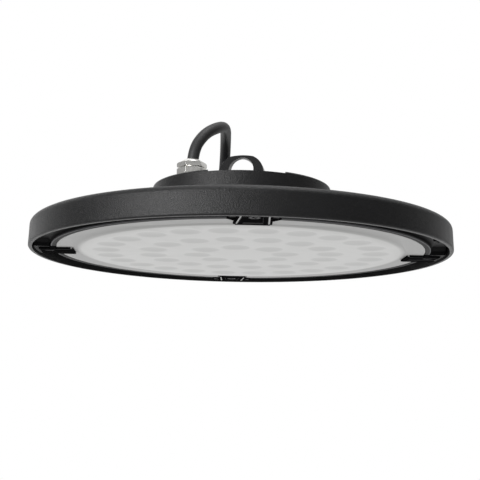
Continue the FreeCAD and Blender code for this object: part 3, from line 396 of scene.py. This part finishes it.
def plated_metal(name, colour, roughness, marks=0.0004):
    """Turned and plated metal: fine marks round the piece's upright axis, and a few dull spots."""
    graph = Graph(name)
    turning = graph.noise(marks, 2.0, 0.5, (0.12, 0.12, 1.0))
    spots = graph.noise(0.004, 2.0)
    graph.bump(turning, 0.000004)
    base = graph.mix(spots, tint(colour, 0.9), tint(colour, 1.06))
    return graph.set(Base_Color=base, Metallic=1.0, Roughness=roughness + spots * 0.1)


def rubber(name, colour, roughness=0.55):
    """Rubber with a fine grain and a faint bloom."""
    graph = Graph(name)
    grain = graph.noise(0.0007, 3.0, 0.6)
    bloom = graph.noise(0.012, 2.0)
    graph.bump(grain, 0.00005)
    base = graph.mix(bloom, tint(colour, 0.8), tint(colour, 1.5))
    return graph.set(Base_Color=base, Roughness=roughness - 0.08 + bloom * 0.16, Specular_IOR_Level=0.35)


def moulded_plastic(name, colour, roughness=0.35):
    """Moulded plastic with a fine texture and slightly uneven colour."""
    graph = Graph(name)
    texture = graph.noise(0.0008, 2.0)
    graph.bump(texture, 0.00002)
    base = graph.mix(graph.noise(0.02), tint(colour, 0.95), tint(colour, 1.04))
    return graph.set(Base_Color=base, Roughness=roughness + texture * 0.1)


def sheet_aluminium(name, colour):
    """Rolled sheet with its grain along X."""
    graph = Graph(name)
    rolling = graph.noise(0.0006, 3.0, 0.6, (0.04, 1.0, 1.0))
    graph.bump(rolling, 0.00002)
    base = graph.mix(rolling, tint(colour, 0.88), tint(colour, 1.05))
    return graph.set(Base_Color=base, Metallic=0.9, Roughness=0.3 + rolling * 0.15)


def solder_mask(name, colour):
    """White solder mask, with the copper under it showing through as faint patches."""
    graph = Graph(name)
    cells = graph.node("ShaderNodeTexVoronoi", {"Vector": graph.place, "Scale": 90.0})
    mask = (Value(graph, cells.outputs["Distance"]) > 0.42) * 0.06
    graph.bump(graph.noise(0.0012), 0.00003)
    base = graph.mix(mask, (*colour, 1.0), (0.45, 0.32, 0.18, 1.0))
    return graph.set(Base_Color=base, Roughness=0.4)


def phosphor(name):
    """The yellow phosphor of an LED package, faintly speckled."""
    graph = Graph(name)
    speckle = graph.noise(0.0003)
    graph.bump(speckle, 0.00002)
    base = graph.mix(speckle, (0.83, 0.66, 0.12, 1.0), (0.9, 0.74, 0.2, 1.0))
    return graph.set(Base_Color=base, Roughness=0.35)


def core_colours(name, origin, across, pitch):
    """Brown, blue and yellowish green insulation, side by side across the lead."""
    graph = Graph(name)
    offset = graph.node("ShaderNodeVectorMath", {0: graph.place, 1: origin}, operation="SUBTRACT")
    along = graph.node("ShaderNodeVectorMath", {0: offset.outputs[0], 1: across}, operation="DOT_PRODUCT")
    share = Value(graph, along.outputs["Value"]) / (3 * pitch) + 0.5
    stops = [(0.0, (0.13, 0.045, 0.015)), (0.333, (0.01, 0.09, 0.4)), (0.667, (0.28, 0.42, 0.03))]
    base = graph.stripes(share, stops)
    graph.bump(graph.noise(0.0006), 0.00002)
    return graph.set(Base_Color=base, Roughness=0.35)


def make_finishes():
    chosen = bpy.context.scene.light_finish
    return {
        "housing_coat": powder_coat("housing_coat", chosen.coat, roughness=0.38, grain=0.0008, depth=0.0003,
                                    gloss=0.22),
        "eye_coat": powder_coat("eye_coat", chosen.coat, roughness=0.24, grain=0.0008, depth=0.00008,
                                gloss=0.22),
        # the tray coat has a painted highlight along its ring's low outer edge
        "tray_coat": powder_coat("tray_coat", chosen.tray, roughness=0.6, grain=0.0009, depth=0.00006,
                                 gloss=0.12, ring_highlight_at=EDGE_HIGHLIGHTS["ring_edge"] * MM),
        # the clips' rounded edges carry a painted highlight
        "clip_paint": powder_coat("clip_paint", chosen.tray, roughness=0.8, grain=0.0007, depth=0.00003,
                                  gloss=0.0, edge_highlight_beyond=EDGE_HIGHLIGHTS["clips_beyond"] * MM),
        "lens": frosted_plastic("lens", chosen.lens),
        "nickel": plated_metal("nickel", chosen.nickel, 0.2),
        "steel": plated_metal("steel", (0.55, 0.55, 0.56), 0.25),
        "steel_dark": plated_metal("steel_dark", (0.016, 0.016, 0.017), 0.45),
        "seal": rubber("seal", (0.014, 0.014, 0.014)),
        "white_seal": rubber("white_seal", (0.6, 0.6, 0.58)),
        "cord_jacket": rubber("cord_jacket", chosen.jacket, 0.5),
        "driver_case": sheet_aluminium("driver_case", (0.62, 0.62, 0.64)),
        "terminal": moulded_plastic("terminal", (0.78, 0.78, 0.75)),
        "board": solder_mask("board", (0.8, 0.8, 0.79)),
        "pad": rubber("pad", (0.3, 0.32, 0.35)),
        "chip": phosphor("chip"),
        "core": core_colours("core", (0, 0, 0), (0, 1, 0), CORE_PITCH),
    }


FINISHES = {}
SLOTS = {row["node"]: row["material_slot"] for row in frame["record"]["subparts"]}


def finish(slot):
    """The material of one of the record's slots, made when it is first asked for."""
    if not FINISHES:
        FINISHES.update(make_finishes())
    return FINISHES[slot]


# ---------------------------------------------------------------- mesh helpers
def placed(title, data):
    """A new object in the scene."""
    thing = bpy.data.objects.new(title, data)
    bpy.context.scene.collection.objects.link(thing)
    return thing


def add_piece(title, data, slot):
    """A new piece that rides on the light and takes its finish from a slot."""
    piece = placed(title, data)
    if not piece.data.materials:
        piece.data.materials.append(finish(slot))
    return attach(piece, "root")


def coat_node(node):
    """Give a CAD node the finish of its slot."""
    materials = NODES[node].data.materials
    materials.clear()
    materials.append(finish(SLOTS[node]))


def as_mesh(thing):
    """The plain mesh of an object with its modifiers, which are removed."""
    view = bpy.context.evaluated_depsgraph_get()
    mesh = bpy.data.meshes.new_from_object(thing.evaluated_get(view))
    thing.modifiers.clear()
    return mesh


def cleaned(node):
    """A copy of a CAD node's mesh with near points joined and flat creases merged."""
    mesh = NODES[node].data.copy()
    shape = bmesh.new()
    shape.from_mesh(mesh)
    bmesh.ops.remove_doubles(shape, verts=shape.verts, dist=JOIN_WITHIN)
    bmesh.ops.dissolve_limit(shape, angle_limit=FLAT_BELOW, verts=shape.verts, edges=shape.edges)
    shape.to_mesh(mesh)
    shape.free()
    return mesh


def dressed(node, softness=None, angle=None, weighted=True, coat=None):
    """A piece of a CAD node's form with joined faces, rounded edges and smooth curved walls."""
    detail = bpy.context.scene.light_detail
    mesh = cleaned(node)
    mesh.materials.clear()
    mesh.materials.append(finish(coat or SLOTS[node]))
    piece = placed(node + "_dressed", mesh)
    width = detail.edge if softness is None else softness
    if width:
        rounding = piece.modifiers.new("edges", "BEVEL")
        rounding.width = width
        rounding.segments = 2
        rounding.limit_method = "ANGLE"
        rounding.angle_limit = ROUND_ABOVE
        rounding.use_clamp_overlap = True
        piece.data = as_mesh(piece)
    piece.data.shade_smooth()
    piece.data.set_sharp_from_angle(angle=detail.smooth_angle if angle is None else angle)
    if weighted:
        normals = piece.modifiers.new("normals", "WEIGHTED_NORMAL")
        normals.keep_sharp = True
        normals.weight = 80
        piece.data = as_mesh(piece)
    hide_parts(node)
    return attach(piece, "root")


def lathe(profile, sides):
    """A closed turned shape about Z from (radius, height) points that start and end on the axis."""
    shape = bmesh.new()
    rings = []
    for radius, height in profile:
        if not radius:
            rings.append([shape.verts.new((0, 0, height))])
            continue
        turns = [2 * math.pi * i / sides for i in range(sides)]
        rings.append([shape.verts.new((radius * math.cos(t), radius * math.sin(t), height)) for t in turns])
    for low, high in zip(rings, rings[1:]):
        for i in range(sides):
            j = (i + 1) % sides
            corners = [low[i % len(low)], low[j % len(low)], high[j % len(high)], high[i % len(high)]]
            shape.faces.new(list(dict.fromkeys(corners)))
    bmesh.ops.recalc_face_normals(shape, faces=shape.faces)
    return shape


def crown_band(sides=180, steps=14):
    """The housing's crown as one smooth band, from the outer ends of the fins to the shoulder."""
    places = [vertex.co for vertex in NODES["top_housing"].data.vertices]
    spots = [(math.hypot(place.x, place.y) / MM, place.z / MM) for place in places]
    on_crown = [reach for reach, height in spots if reach > CROWN["beyond"]
                and abs(height - crown_height(reach)) < CROWN["tolerance"]]
    inner, outer = min(on_crown), max(on_crown)
    reaches = [inner + (outer - inner) * i / steps for i in range(steps + 1)]
    section = [(reach, crown_height(reach) + CROWN["cover"]) for reach in reaches]
    section += [(reach, crown_height(reach) - CROWN["depth"]) for reach in reversed(reaches)]
    shape = bmesh.new()
    rings = []
    for i in range(sides):
        turn = 2 * math.pi * i / sides
        rings.append([shape.verts.new((reach * MM * math.cos(turn), reach * MM * math.sin(turn),
                                       height * MM)) for reach, height in section])
    for i, ring in enumerate(rings):
        beside = rings[(i + 1) % sides]
        for j in range(len(section)):
            k = (j + 1) % len(section)
            shape.faces.new((ring[j], beside[j], beside[k], ring[k]))
    bmesh.ops.recalc_face_normals(shape, faces=shape.faces)
    mesh = from_bmesh(shape, "crown_band")
    mesh.shade_smooth()
    mesh.set_sharp_from_angle(angle=SHARP_ABOVE)
    return mesh


def crown_height(reach):
    """Height of the crown's arc at a distance from Z, in millimetres."""
    return CROWN["centre_height"] + math.sqrt(CROWN["arc"] ** 2 - (reach - CROWN["centre"]) ** 2)


def from_bmesh(shape, title):
    """A new mesh from a bmesh, which is freed."""
    mesh = bpy.data.meshes.new(title)
    shape.to_mesh(mesh)
    shape.free()
    return mesh


# ---------------------------------------------------------------- screws
def screw_head(title, radius, height, countersunk, slot):
    """A screw head on Z with a cross recess; its top faces down, to whoever looks up at the light."""
    detail = bpy.context.scene.light_detail
    if countersunk:
        profile = [(0, 0), (radius * 0.97, 0), (radius, -0.04 * radius), (radius * 0.55, -height),
                   (0, -height)]
    else:
        steps = [math.radians(angle) for angle in (0, 18, 36, 54, 72)]
        dome = [(radius * (0.62 + 0.38 * math.sin(step)), height * (0.4 + 0.6 * math.cos(step)) - height)
                for step in steps]
        profile = [(0, 0)] + dome + [(radius, -height), (0, -height)]
    head = placed(title, from_bmesh(lathe(profile, detail.head_sides), title))
    cross = bmesh.new()
    arm = radius * detail.recess_width
    span = radius * 0.62
    for long, wide in ((span, arm), (arm, span)):
        made = bmesh.ops.create_cube(cross, size=2.0)["verts"]
        bmesh.ops.scale(cross, verts=made, vec=(long, wide, height * 0.55))
    tool = placed(title + "_recess", from_bmesh(cross, title + "_recess"))
    hollow = head.modifiers.new("recess", "BOOLEAN")
    hollow.object = tool
    hollow.solver = "EXACT"
    hollow.use_self = True
    mesh = as_mesh(head)
    bpy.data.objects.remove(tool)
    bpy.data.objects.remove(head)
    mesh.transform(Matrix.Scale(-1, 4, (0, 0, 1)))
    mesh.flip_normals()
    mesh.materials.clear()
    mesh.materials.append(finish(slot))
    return mesh


def sum_node(tree, operation, first, second):
    """One step of arithmetic on two sockets or numbers in a tree."""
    node = tree.nodes.new("ShaderNodeMath")
    node.operation = operation
    for socket, value in zip(node.inputs, (first, second)):
        if isinstance(value, float):
            socket.default_value = value
        else:
            tree.links.new(value, socket)
    return node.outputs[0]


def circle_tree():
    """Copies of one object round a circle about Z, each facing outward with a random spin up to a limit."""
    tree = bpy.data.node_groups.new("copies_on_a_circle", "GeometryNodeTree")
    face = tree.interface
    face.new_socket("Geometry", in_out="OUTPUT", socket_type="NodeSocketGeometry")
    for name, kind in (("Original", "NodeSocketObject"), ("Count", "NodeSocketInt"),
                       ("Radius", "NodeSocketFloat"), ("First Angle", "NodeSocketFloat"),
                       ("Height", "NodeSocketFloat"), ("Spin", "NodeSocketFloat"),
                       ("Seed", "NodeSocketInt"), ("Finish", "NodeSocketMaterial")):
        face.new_socket(name, in_out="INPUT", socket_type=kind)
    make = tree.nodes.new
    link = tree.links.new
    entry = make("NodeGroupInput")
    exit_ = make("NodeGroupOutput")
    ring = make("GeometryNodeMeshCircle")
    link(entry.outputs["Count"], ring.inputs["Vertices"])
    link(entry.outputs["Radius"], ring.inputs["Radius"])
    turn = make("GeometryNodeTransform")
    angle = make("ShaderNodeCombineXYZ")
    link(entry.outputs["First Angle"], angle.inputs["Z"])
    rise = make("ShaderNodeCombineXYZ")
    link(entry.outputs["Height"], rise.inputs["Z"])
    link(ring.outputs[0], turn.inputs["Geometry"])
    link(angle.outputs[0], turn.inputs["Rotation"])
    link(rise.outputs[0], turn.inputs["Translation"])
    source = make("GeometryNodeObjectInfo")
    link(entry.outputs["Original"], source.inputs["Object"])
    # a random float has its largest value on input 3 and comes out of output 1
    spin = make("FunctionNodeRandomValue")
    spin.data_type = "FLOAT"
    link(entry.outputs["Spin"], spin.inputs[3])
    link(entry.outputs["Seed"], spin.inputs["Seed"])
    outward = sum_node(tree, "DIVIDE", 2 * math.pi, entry.outputs["Count"])
    outward = sum_node(tree, "MULTIPLY", outward, make("GeometryNodeInputIndex").outputs[0])
    outward = sum_node(tree, "ADD", outward, entry.outputs["First Angle"])
    spin_z = make("ShaderNodeCombineXYZ")
    link(sum_node(tree, "ADD", outward, spin.outputs[1]), spin_z.inputs["Z"])
    copies = make("GeometryNodeInstanceOnPoints")
    link(turn.outputs[0], copies.inputs["Points"])
    link(source.outputs["Geometry"], copies.inputs["Instance"])
    link(spin_z.outputs[0], copies.inputs["Rotation"])
    real = make("GeometryNodeRealizeInstances")
    link(copies.outputs[0], real.inputs[0])
    colour = make("GeometryNodeSetMaterial")
    link(real.outputs[0], colour.inputs["Geometry"])
    link(entry.outputs["Finish"], colour.inputs["Material"])
    link(colour.outputs[0], exit_.inputs[0])
    return tree


def copies_on_circle(title, mesh, slot, count, radius=0.0, first=0.0, height=0.0, spin=0.0):
    """One piece made of copies of a mesh round a circle about Z."""
    original = placed(title + "_one", mesh)
    carrier = placed(title, bpy.data.meshes.new(title))
    tree = bpy.data.node_groups.get("copies_on_a_circle") or circle_tree()
    layout = carrier.modifiers.new("layout", "NODES")
    layout.node_group = tree
    values = {"Original": original, "Count": count, "Radius": radius, "First Angle": first,
              "Height": height, "Spin": spin, "Seed": len(title), "Finish": finish(slot)}
    for socket in tree.interface.items_tree:
        if socket.in_out == "INPUT":
            layout[socket.identifier] = values[socket.name]
    result = as_mesh(carrier)
    bpy.data.objects.remove(carrier)
    bpy.data.objects.remove(original)
    result.set_sharp_from_angle(angle=SHARP_ABOVE)
    return add_piece(title, result, slot)


# ---------------------------------------------------------------- lens fixings
def lug_half(reach):
    """Half of the width of a lens lug, which narrows outward."""
    start, end = LUG["start"], LUG["end"]
    return start[1] + (end[1] - start[1]) * (reach - start[0]) / (end[0] - start[0])


def add_bar(shape, near, far, near_section, far_section):
    """A bar along X between two sections, each a loop of (side, height) points; all in millimetres."""
    ends = [[shape.verts.new((reach * MM, side * MM, height * MM)) for side, height in section]
            for reach, section in ((near, near_section), (far, far_section))]
    shape.faces.new(ends[0])
    shape.faces.new(ends[1])
    for i in range(len(near_section)):
        j = (i + 1) % len(near_section)
        shape.faces.new((ends[0][i], ends[0][j], ends[1][j], ends[1][i]))


def cheek_section(side, reach):
    """The thin wall beside a lug, cut at a distance from Z."""
    inner = side * lug_half(reach)
    outer = side * (lug_half(reach) + LUG["cheek"])
    low = LUG["frame_bottom"]
    high = LUG["frame_top"]
    return [(inner, low), (outer, low), (outer, high), (inner, high)]


def ramp_section(side, reach):
    """The ramp from a lug's cheek up to the ring, cut at a distance from Z."""
    inner = side * lug_half(reach)
    foot = inner + side * LUG["cheek"]
    outer = side * (lug_half(reach) + LUG["ramp"])
    low = LUG["frame_bottom"]
    high = LUG["frame_top"]
    return [(inner, low), (foot, low), (outer, LUG["ring_bottom"]), (outer, high), (inner, high)]


def lug_frame():
    """The black frame of the lug on +X: a rounded bar across its end, its cheeks and their ramps."""
    shape = bmesh.new()
    start = LUG["start"][0]
    end = LUG["end"][0]
    bar = LUG["bar_half"]
    low = LUG["bar_bottom"]
    high = LUG["bar_top"]
    behind_bar = start + LUG["bar_width"]
    across = [(-bar, low), (bar, low), (bar, high), (-bar, high)]
    add_bar(shape, start - LUG["bar_reach"], behind_bar, across, across)
    bmesh.ops.bevel(shape, geom=list(shape.edges), offset=LUG["bar_rounding"] * MM, segments=3, profile=0.5,
                    affect="EDGES")
    near, far = LUG["ring"]
    for side in (-1, 1):
        add_bar(shape, behind_bar, end, cheek_section(side, behind_bar), cheek_section(side, end))
        add_bar(shape, near, far, ramp_section(side, near), ramp_section(side, far))
    bmesh.ops.recalc_face_normals(shape, faces=shape.faces)
    return from_bmesh(shape, "lug_frame")


# ---------------------------------------------------------------- operators
class HIGHBAY_OT_stage(bpy.types.Operator):
    """Set up the camera, the pale floor and the soft lamps"""
    bl_idname = "highbay.stage"
    bl_label = "Studio"

    def execute(self, context):
        stage = context.scene.light_stage
        self.add_camera(context, stage)
        self.add_world(context, stage)
        self.add_floor(stage)
        for title, (place, width, height) in LAMPS.items():
            self.add_lamp(title, place, width, height, getattr(stage, title + "_power"))
        context.scene.view_settings.view_transform = "Standard"
        return {"FINISHED"}

    def add_camera(self, context, stage):
        camera = bpy.data.cameras.new("camera")
        camera.lens = stage.lens
        camera.sensor_width = 36.0
        camera.shift_x = stage.shift_x
        camera.shift_y = stage.shift_y
        flat = math.cos(stage.elevation)
        place = Vector((math.sin(stage.azimuth) * flat, -math.cos(stage.azimuth) * flat,
                        math.sin(stage.elevation))) * stage.distance
        holder = placed("camera", camera)
        turn = (-place).to_track_quat("-Z", "Y").to_matrix().to_4x4()
        holder.matrix_world = Matrix.Translation(place) @ turn @ Matrix.Rotation(stage.roll, 4, "Z")
        context.scene.camera = holder

    def add_world(self, context, stage):
        """White where it is seen, plain on matt surfaces, and with dark sides where it is mirrored."""
        world = bpy.data.worlds.new("studio")
        graph = Graph("studio", world)
        path = graph.node("ShaderNodeLightPath")
        seen = graph.math("MAXIMUM", path.outputs["Is Camera Ray"], path.outputs["Is Transmission Ray"])
        mirrored = Value(graph, path.outputs["Is Glossy Ray"])
        # dark cloth hangs all round except at the back; it is darkest level with the light
        front = graph.math("SMOOTH_MIN", 2.3 - graph.axis("Y") * 4, 1.0, 0.2)
        rise = graph.axis("Z")
        level = graph.math("MAXIMUM", 1 - rise * rise * 1.7, 0.0)
        # a thinner cloth hangs on the right half, as far as the back
        right = graph.math("MINIMUM", graph.axis("X") * 0.7, 0.5)
        hung = graph.math("MAXIMUM", graph.math("MAXIMUM", front, right) * level, 0.0)
        cloth = hung * (1 - stage.cloth_level)
        matt = 1 - graph.math("MAXIMUM", seen, mirrored)
        graph.feed(graph.shader.inputs["Strength"], seen + mirrored * (1 - cloth) + matt * stage.ambient)
        graph.feed(graph.shader.inputs["Color"], (1, 1, 1, 1))
        context.scene.world = world

    def add_floor(self, stage):
        """A wide pale disc: white to the camera and in mirrors, with the light's soft shadow on it."""
        shape = bmesh.new()
        bmesh.ops.create_circle(shape, cap_ends=True, segments=96, radius=stage.floor_radius)
        floor = placed("floor", from_bmesh(shape, "floor"))
        floor.location = (0, 0, -stage.floor_drop)
        graph = Graph("floor")
        graph.set(Base_Color=(0.82, 0.82, 0.82, 1), Roughness=0.8)
        glow = graph.node("ShaderNodeEmission", {"Color": (1, 1, 1, 1), "Strength": 1.0})
        path = graph.node("ShaderNodeLightPath")
        seen = graph.math("MAXIMUM", path.outputs["Is Camera Ray"], path.outputs["Is Glossy Ray"])
        # a trace of the matt disc stays, for the shadow
        blend = graph.node("ShaderNodeMixShader", {0: seen * 0.97})
        graph.tree.links.new(graph.shader.outputs[0], blend.inputs[1])
        graph.tree.links.new(glow.outputs[0], blend.inputs[2])
        graph.tree.links.new(blend.outputs[0], graph.tree.nodes["Material Output"].inputs["Surface"])
        floor.data.materials.append(graph.material)

    def add_lamp(self, title, place, width, height, power):
        """A soft rectangular lamp that shines at the middle of the rim."""
        lamp = bpy.data.lights.new(title, "AREA")
        lamp.shape = "RECTANGLE"
        lamp.size = width
        lamp.size_y = height
        lamp.energy = power
        holder = placed(title, lamp)
        holder.location = place
        holder.rotation_euler = (-Vector(place)).to_track_quat("-Z", "Y").to_euler()


class HIGHBAY_OT_lead(bpy.types.Operator):
    """Lay the mains lead along its route, with its stripped end"""
    bl_idname = "highbay.lead"
    bl_label = "Mains lead"

    def execute(self, context):
        curve = bpy.data.curves.new("mains_lead", "CURVE")
        curve.dimensions = "3D"
        low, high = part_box("inner_lead")
        diameter = high.x - low.x
        curve.bevel_depth = diameter / 2
        curve.bevel_resolution = 8
        curve.use_fill_caps = True
        line = curve.splines.new("NURBS")
        line.points.add(len(LEAD_ROUTE) - 1)
        for point, place in zip(line.points, LEAD_ROUTE):
            point.co = (*[c * MM for c in place], 1.0)
        line.order_u = 3
        line.use_endpoint_u = True
        line.resolution_u = 16
        lead = add_piece("mains_lead", curve, "cord_jacket")
        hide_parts("power_cord")
        self.colour_cores()
        coat_node("cord_ferrules")
        return {"FINISHED"}

    def colour_cores(self):
        """The three cores at the stripped end are told apart by where they lie across the lead."""
        end = Vector(LEAD_ROUTE[-1]) * MM
        ahead = (end - Vector(LEAD_ROUTE[-2]) * MM).normalized()
        across = ahead.cross(Vector((0, 0, 1))).normalized()
        material = core_colours("core_at_end", end, across, CORE_PITCH)
        materials = NODES["cord_cores"].data.materials
        materials.clear()
        materials.append(material)


class HIGHBAY_OT_castings(bpy.types.Operator):
    """Dress the housing, the driver cover, the hanging eye, the tray and the lens clips"""
    bl_idname = "highbay.castings"
    bl_label = "Castings"

    def execute(self, context):
        dressed("top_housing", 0.0)
        add_piece("crown_band", crown_band(), SLOTS["top_housing"])
        dressed("driver_cover")
        dressed("hanging_eye", 1.0 * MM, coat="eye_coat")
        dressed("led_tray", 0.5 * MM)
        for number in range(1, 5):
            dressed("lens_clip_%d" % number, 0.4 * MM)
        copies_on_circle("lug_frames", lug_frame(), SLOTS["lens_clip_1"], 4)
        return {"FINISHED"}


class HIGHBAY_OT_lens(bpy.types.Operator):
    """Dress the frosted lens with its dished optics"""
    bl_idname = "highbay.lens"
    bl_label = "Lens"

    def execute(self, context):
        lens = dressed("lens_plate", 0.0, math.radians(8), False)
        self.soften_step(lens.data)
        self.trim_lugs(lens.data)
        return {"FINISHED"}

    def trim_lugs(self, mesh):
        """Each lug ends under the bar of its frame."""
        for vertex in mesh.vertices:
            for axis in (0, 1):
                reach = vertex.co[axis]
                at_end = abs(abs(reach) - LUG["cad_start"] * MM) < LUG["tolerance"] * MM
                if at_end and abs(vertex.co[1 - axis]) < LUG["cad_half"] * MM:
                    vertex.co[axis] = math.copysign(LUG["trimmed_start"] * MM, reach)

    def soften_step(self, mesh):
        """The step down to the lens's border is rounded, so its edges are shaded smooth."""
        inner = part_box("led_board")[1].x
        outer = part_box("lens_gasket")[1].x
        top = 2 * MM
        sharp = mesh.attributes["sharp_edge"].data
        for edge in mesh.edges:
            spots = [mesh.vertices[i].co for i in edge.vertices]
            reach = [math.hypot(spot.x, spot.y) for spot in spots]
            if min(reach) > inner and max(reach) < outer and max(spot.z for spot in spots) < top:
                sharp[edge.index].value = False


class HIGHBAY_OT_gland(bpy.types.Operator):
    """Dress the plated cable gland and its washer"""
    bl_idname = "highbay.gland"
    bl_label = "Cable gland"

    def execute(self, context):
        for node in ("gland_body", "gland_cap"):
            dressed(node, 0.12 * MM)
        for node in ("gland_locknut", "gland_washer", "gland_seal"):
            coat_node(node)
        return {"FINISHED"}


class HIGHBAY_OT_fixings(bpy.types.Operator):
    """Put cross-recessed heads on the screws that show"""
    bl_idname = "highbay.fixings"
    bl_label = "Screws"

    def execute(self, context):
        detail = context.scene.light_detail
        low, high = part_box("clip_screws")
        mesh = screw_head("clip_head", detail.clip_head, detail.clip_head_height, True, "steel_dark")
        heads = copies_on_circle("clip_heads", mesh, SLOTS["clip_screws"], 4, high.x - detail.clip_head,
                                 0.0, low.z, math.pi / 2)
        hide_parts("clip_screws")
        low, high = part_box("tray_screws")
        mesh = screw_head("tray_head", detail.tray_head, detail.tray_head_height, False, "steel_dark")
        heads = copies_on_circle("tray_heads", mesh, SLOTS["tray_screws"], 8, detail.tray_circle,
                                 detail.tray_turn, low.z, math.pi / 2)
        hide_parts("tray_screws")
        for node in ("board_screws", "cover_screws", "driver_screws", "eye_screws"):
            coat_node(node)
        return {"FINISHED"}


class HIGHBAY_OT_inside(bpy.types.Operator):
    """Finish the pieces inside: board, chips, seals, driver and wiring"""
    bl_idname = "highbay.inside"
    bl_label = "Inside"

    def execute(self, context):
        for node in ("inner_lead", "inner_cores", "led_driver", "terminal_block", "driver_leads",
                     "wire_grommet", "dc_leads", "led_board", "thermal_pad", "led_chips", "board_terminal",
                     "lens_gasket", "cover_gasket"):
            coat_node(node)
        return {"FINISHED"}


OPERATORS = (HIGHBAY_OT_stage, HIGHBAY_OT_lead, HIGHBAY_OT_castings, HIGHBAY_OT_lens, HIGHBAY_OT_gland,
             HIGHBAY_OT_fixings, HIGHBAY_OT_inside)


class HIGHBAY_PT_panel(bpy.types.Panel):
    """Lists the light's settings and steps"""
    bl_idname = "HIGHBAY_PT_panel"
    bl_label = "High bay light"
    bl_space_type = "VIEW_3D"
    bl_region_type = "UI"
    bl_category = "High bay"

    def draw(self, context):
        for settings in (context.scene.light_stage, context.scene.light_finish, context.scene.light_detail):
            box = self.layout.box()
            for name in settings.bl_rna.properties.keys():
                if name not in ("rna_type", "name"):
                    box.prop(settings, name)
        for operator in OPERATORS:
            self.layout.operator(operator.bl_idname)


GROUPS = {"light_stage": StageSettings, "light_finish": FinishSettings, "light_detail": DetailSettings}


def register():
    for group in GROUPS.values():
        bpy.utils.register_class(group)
    for name, group in GROUPS.items():
        setattr(bpy.types.Scene, name, PointerProperty(type=group))
    for thing in (*OPERATORS, HIGHBAY_PT_panel):
        bpy.utils.register_class(thing)


def unregister():
    for thing in reversed((*OPERATORS, HIGHBAY_PT_panel)):
        bpy.utils.unregister_class(thing)
    for name in GROUPS:
        delattr(bpy.types.Scene, name)
    for group in GROUPS.values():
        bpy.utils.unregister_class(group)


def main():
    register()
    for operator in OPERATORS:
        family, name = operator.bl_idname.split(".")
        getattr(getattr(bpy.ops, family), name)()


if __name__ == "__main__":
    main()
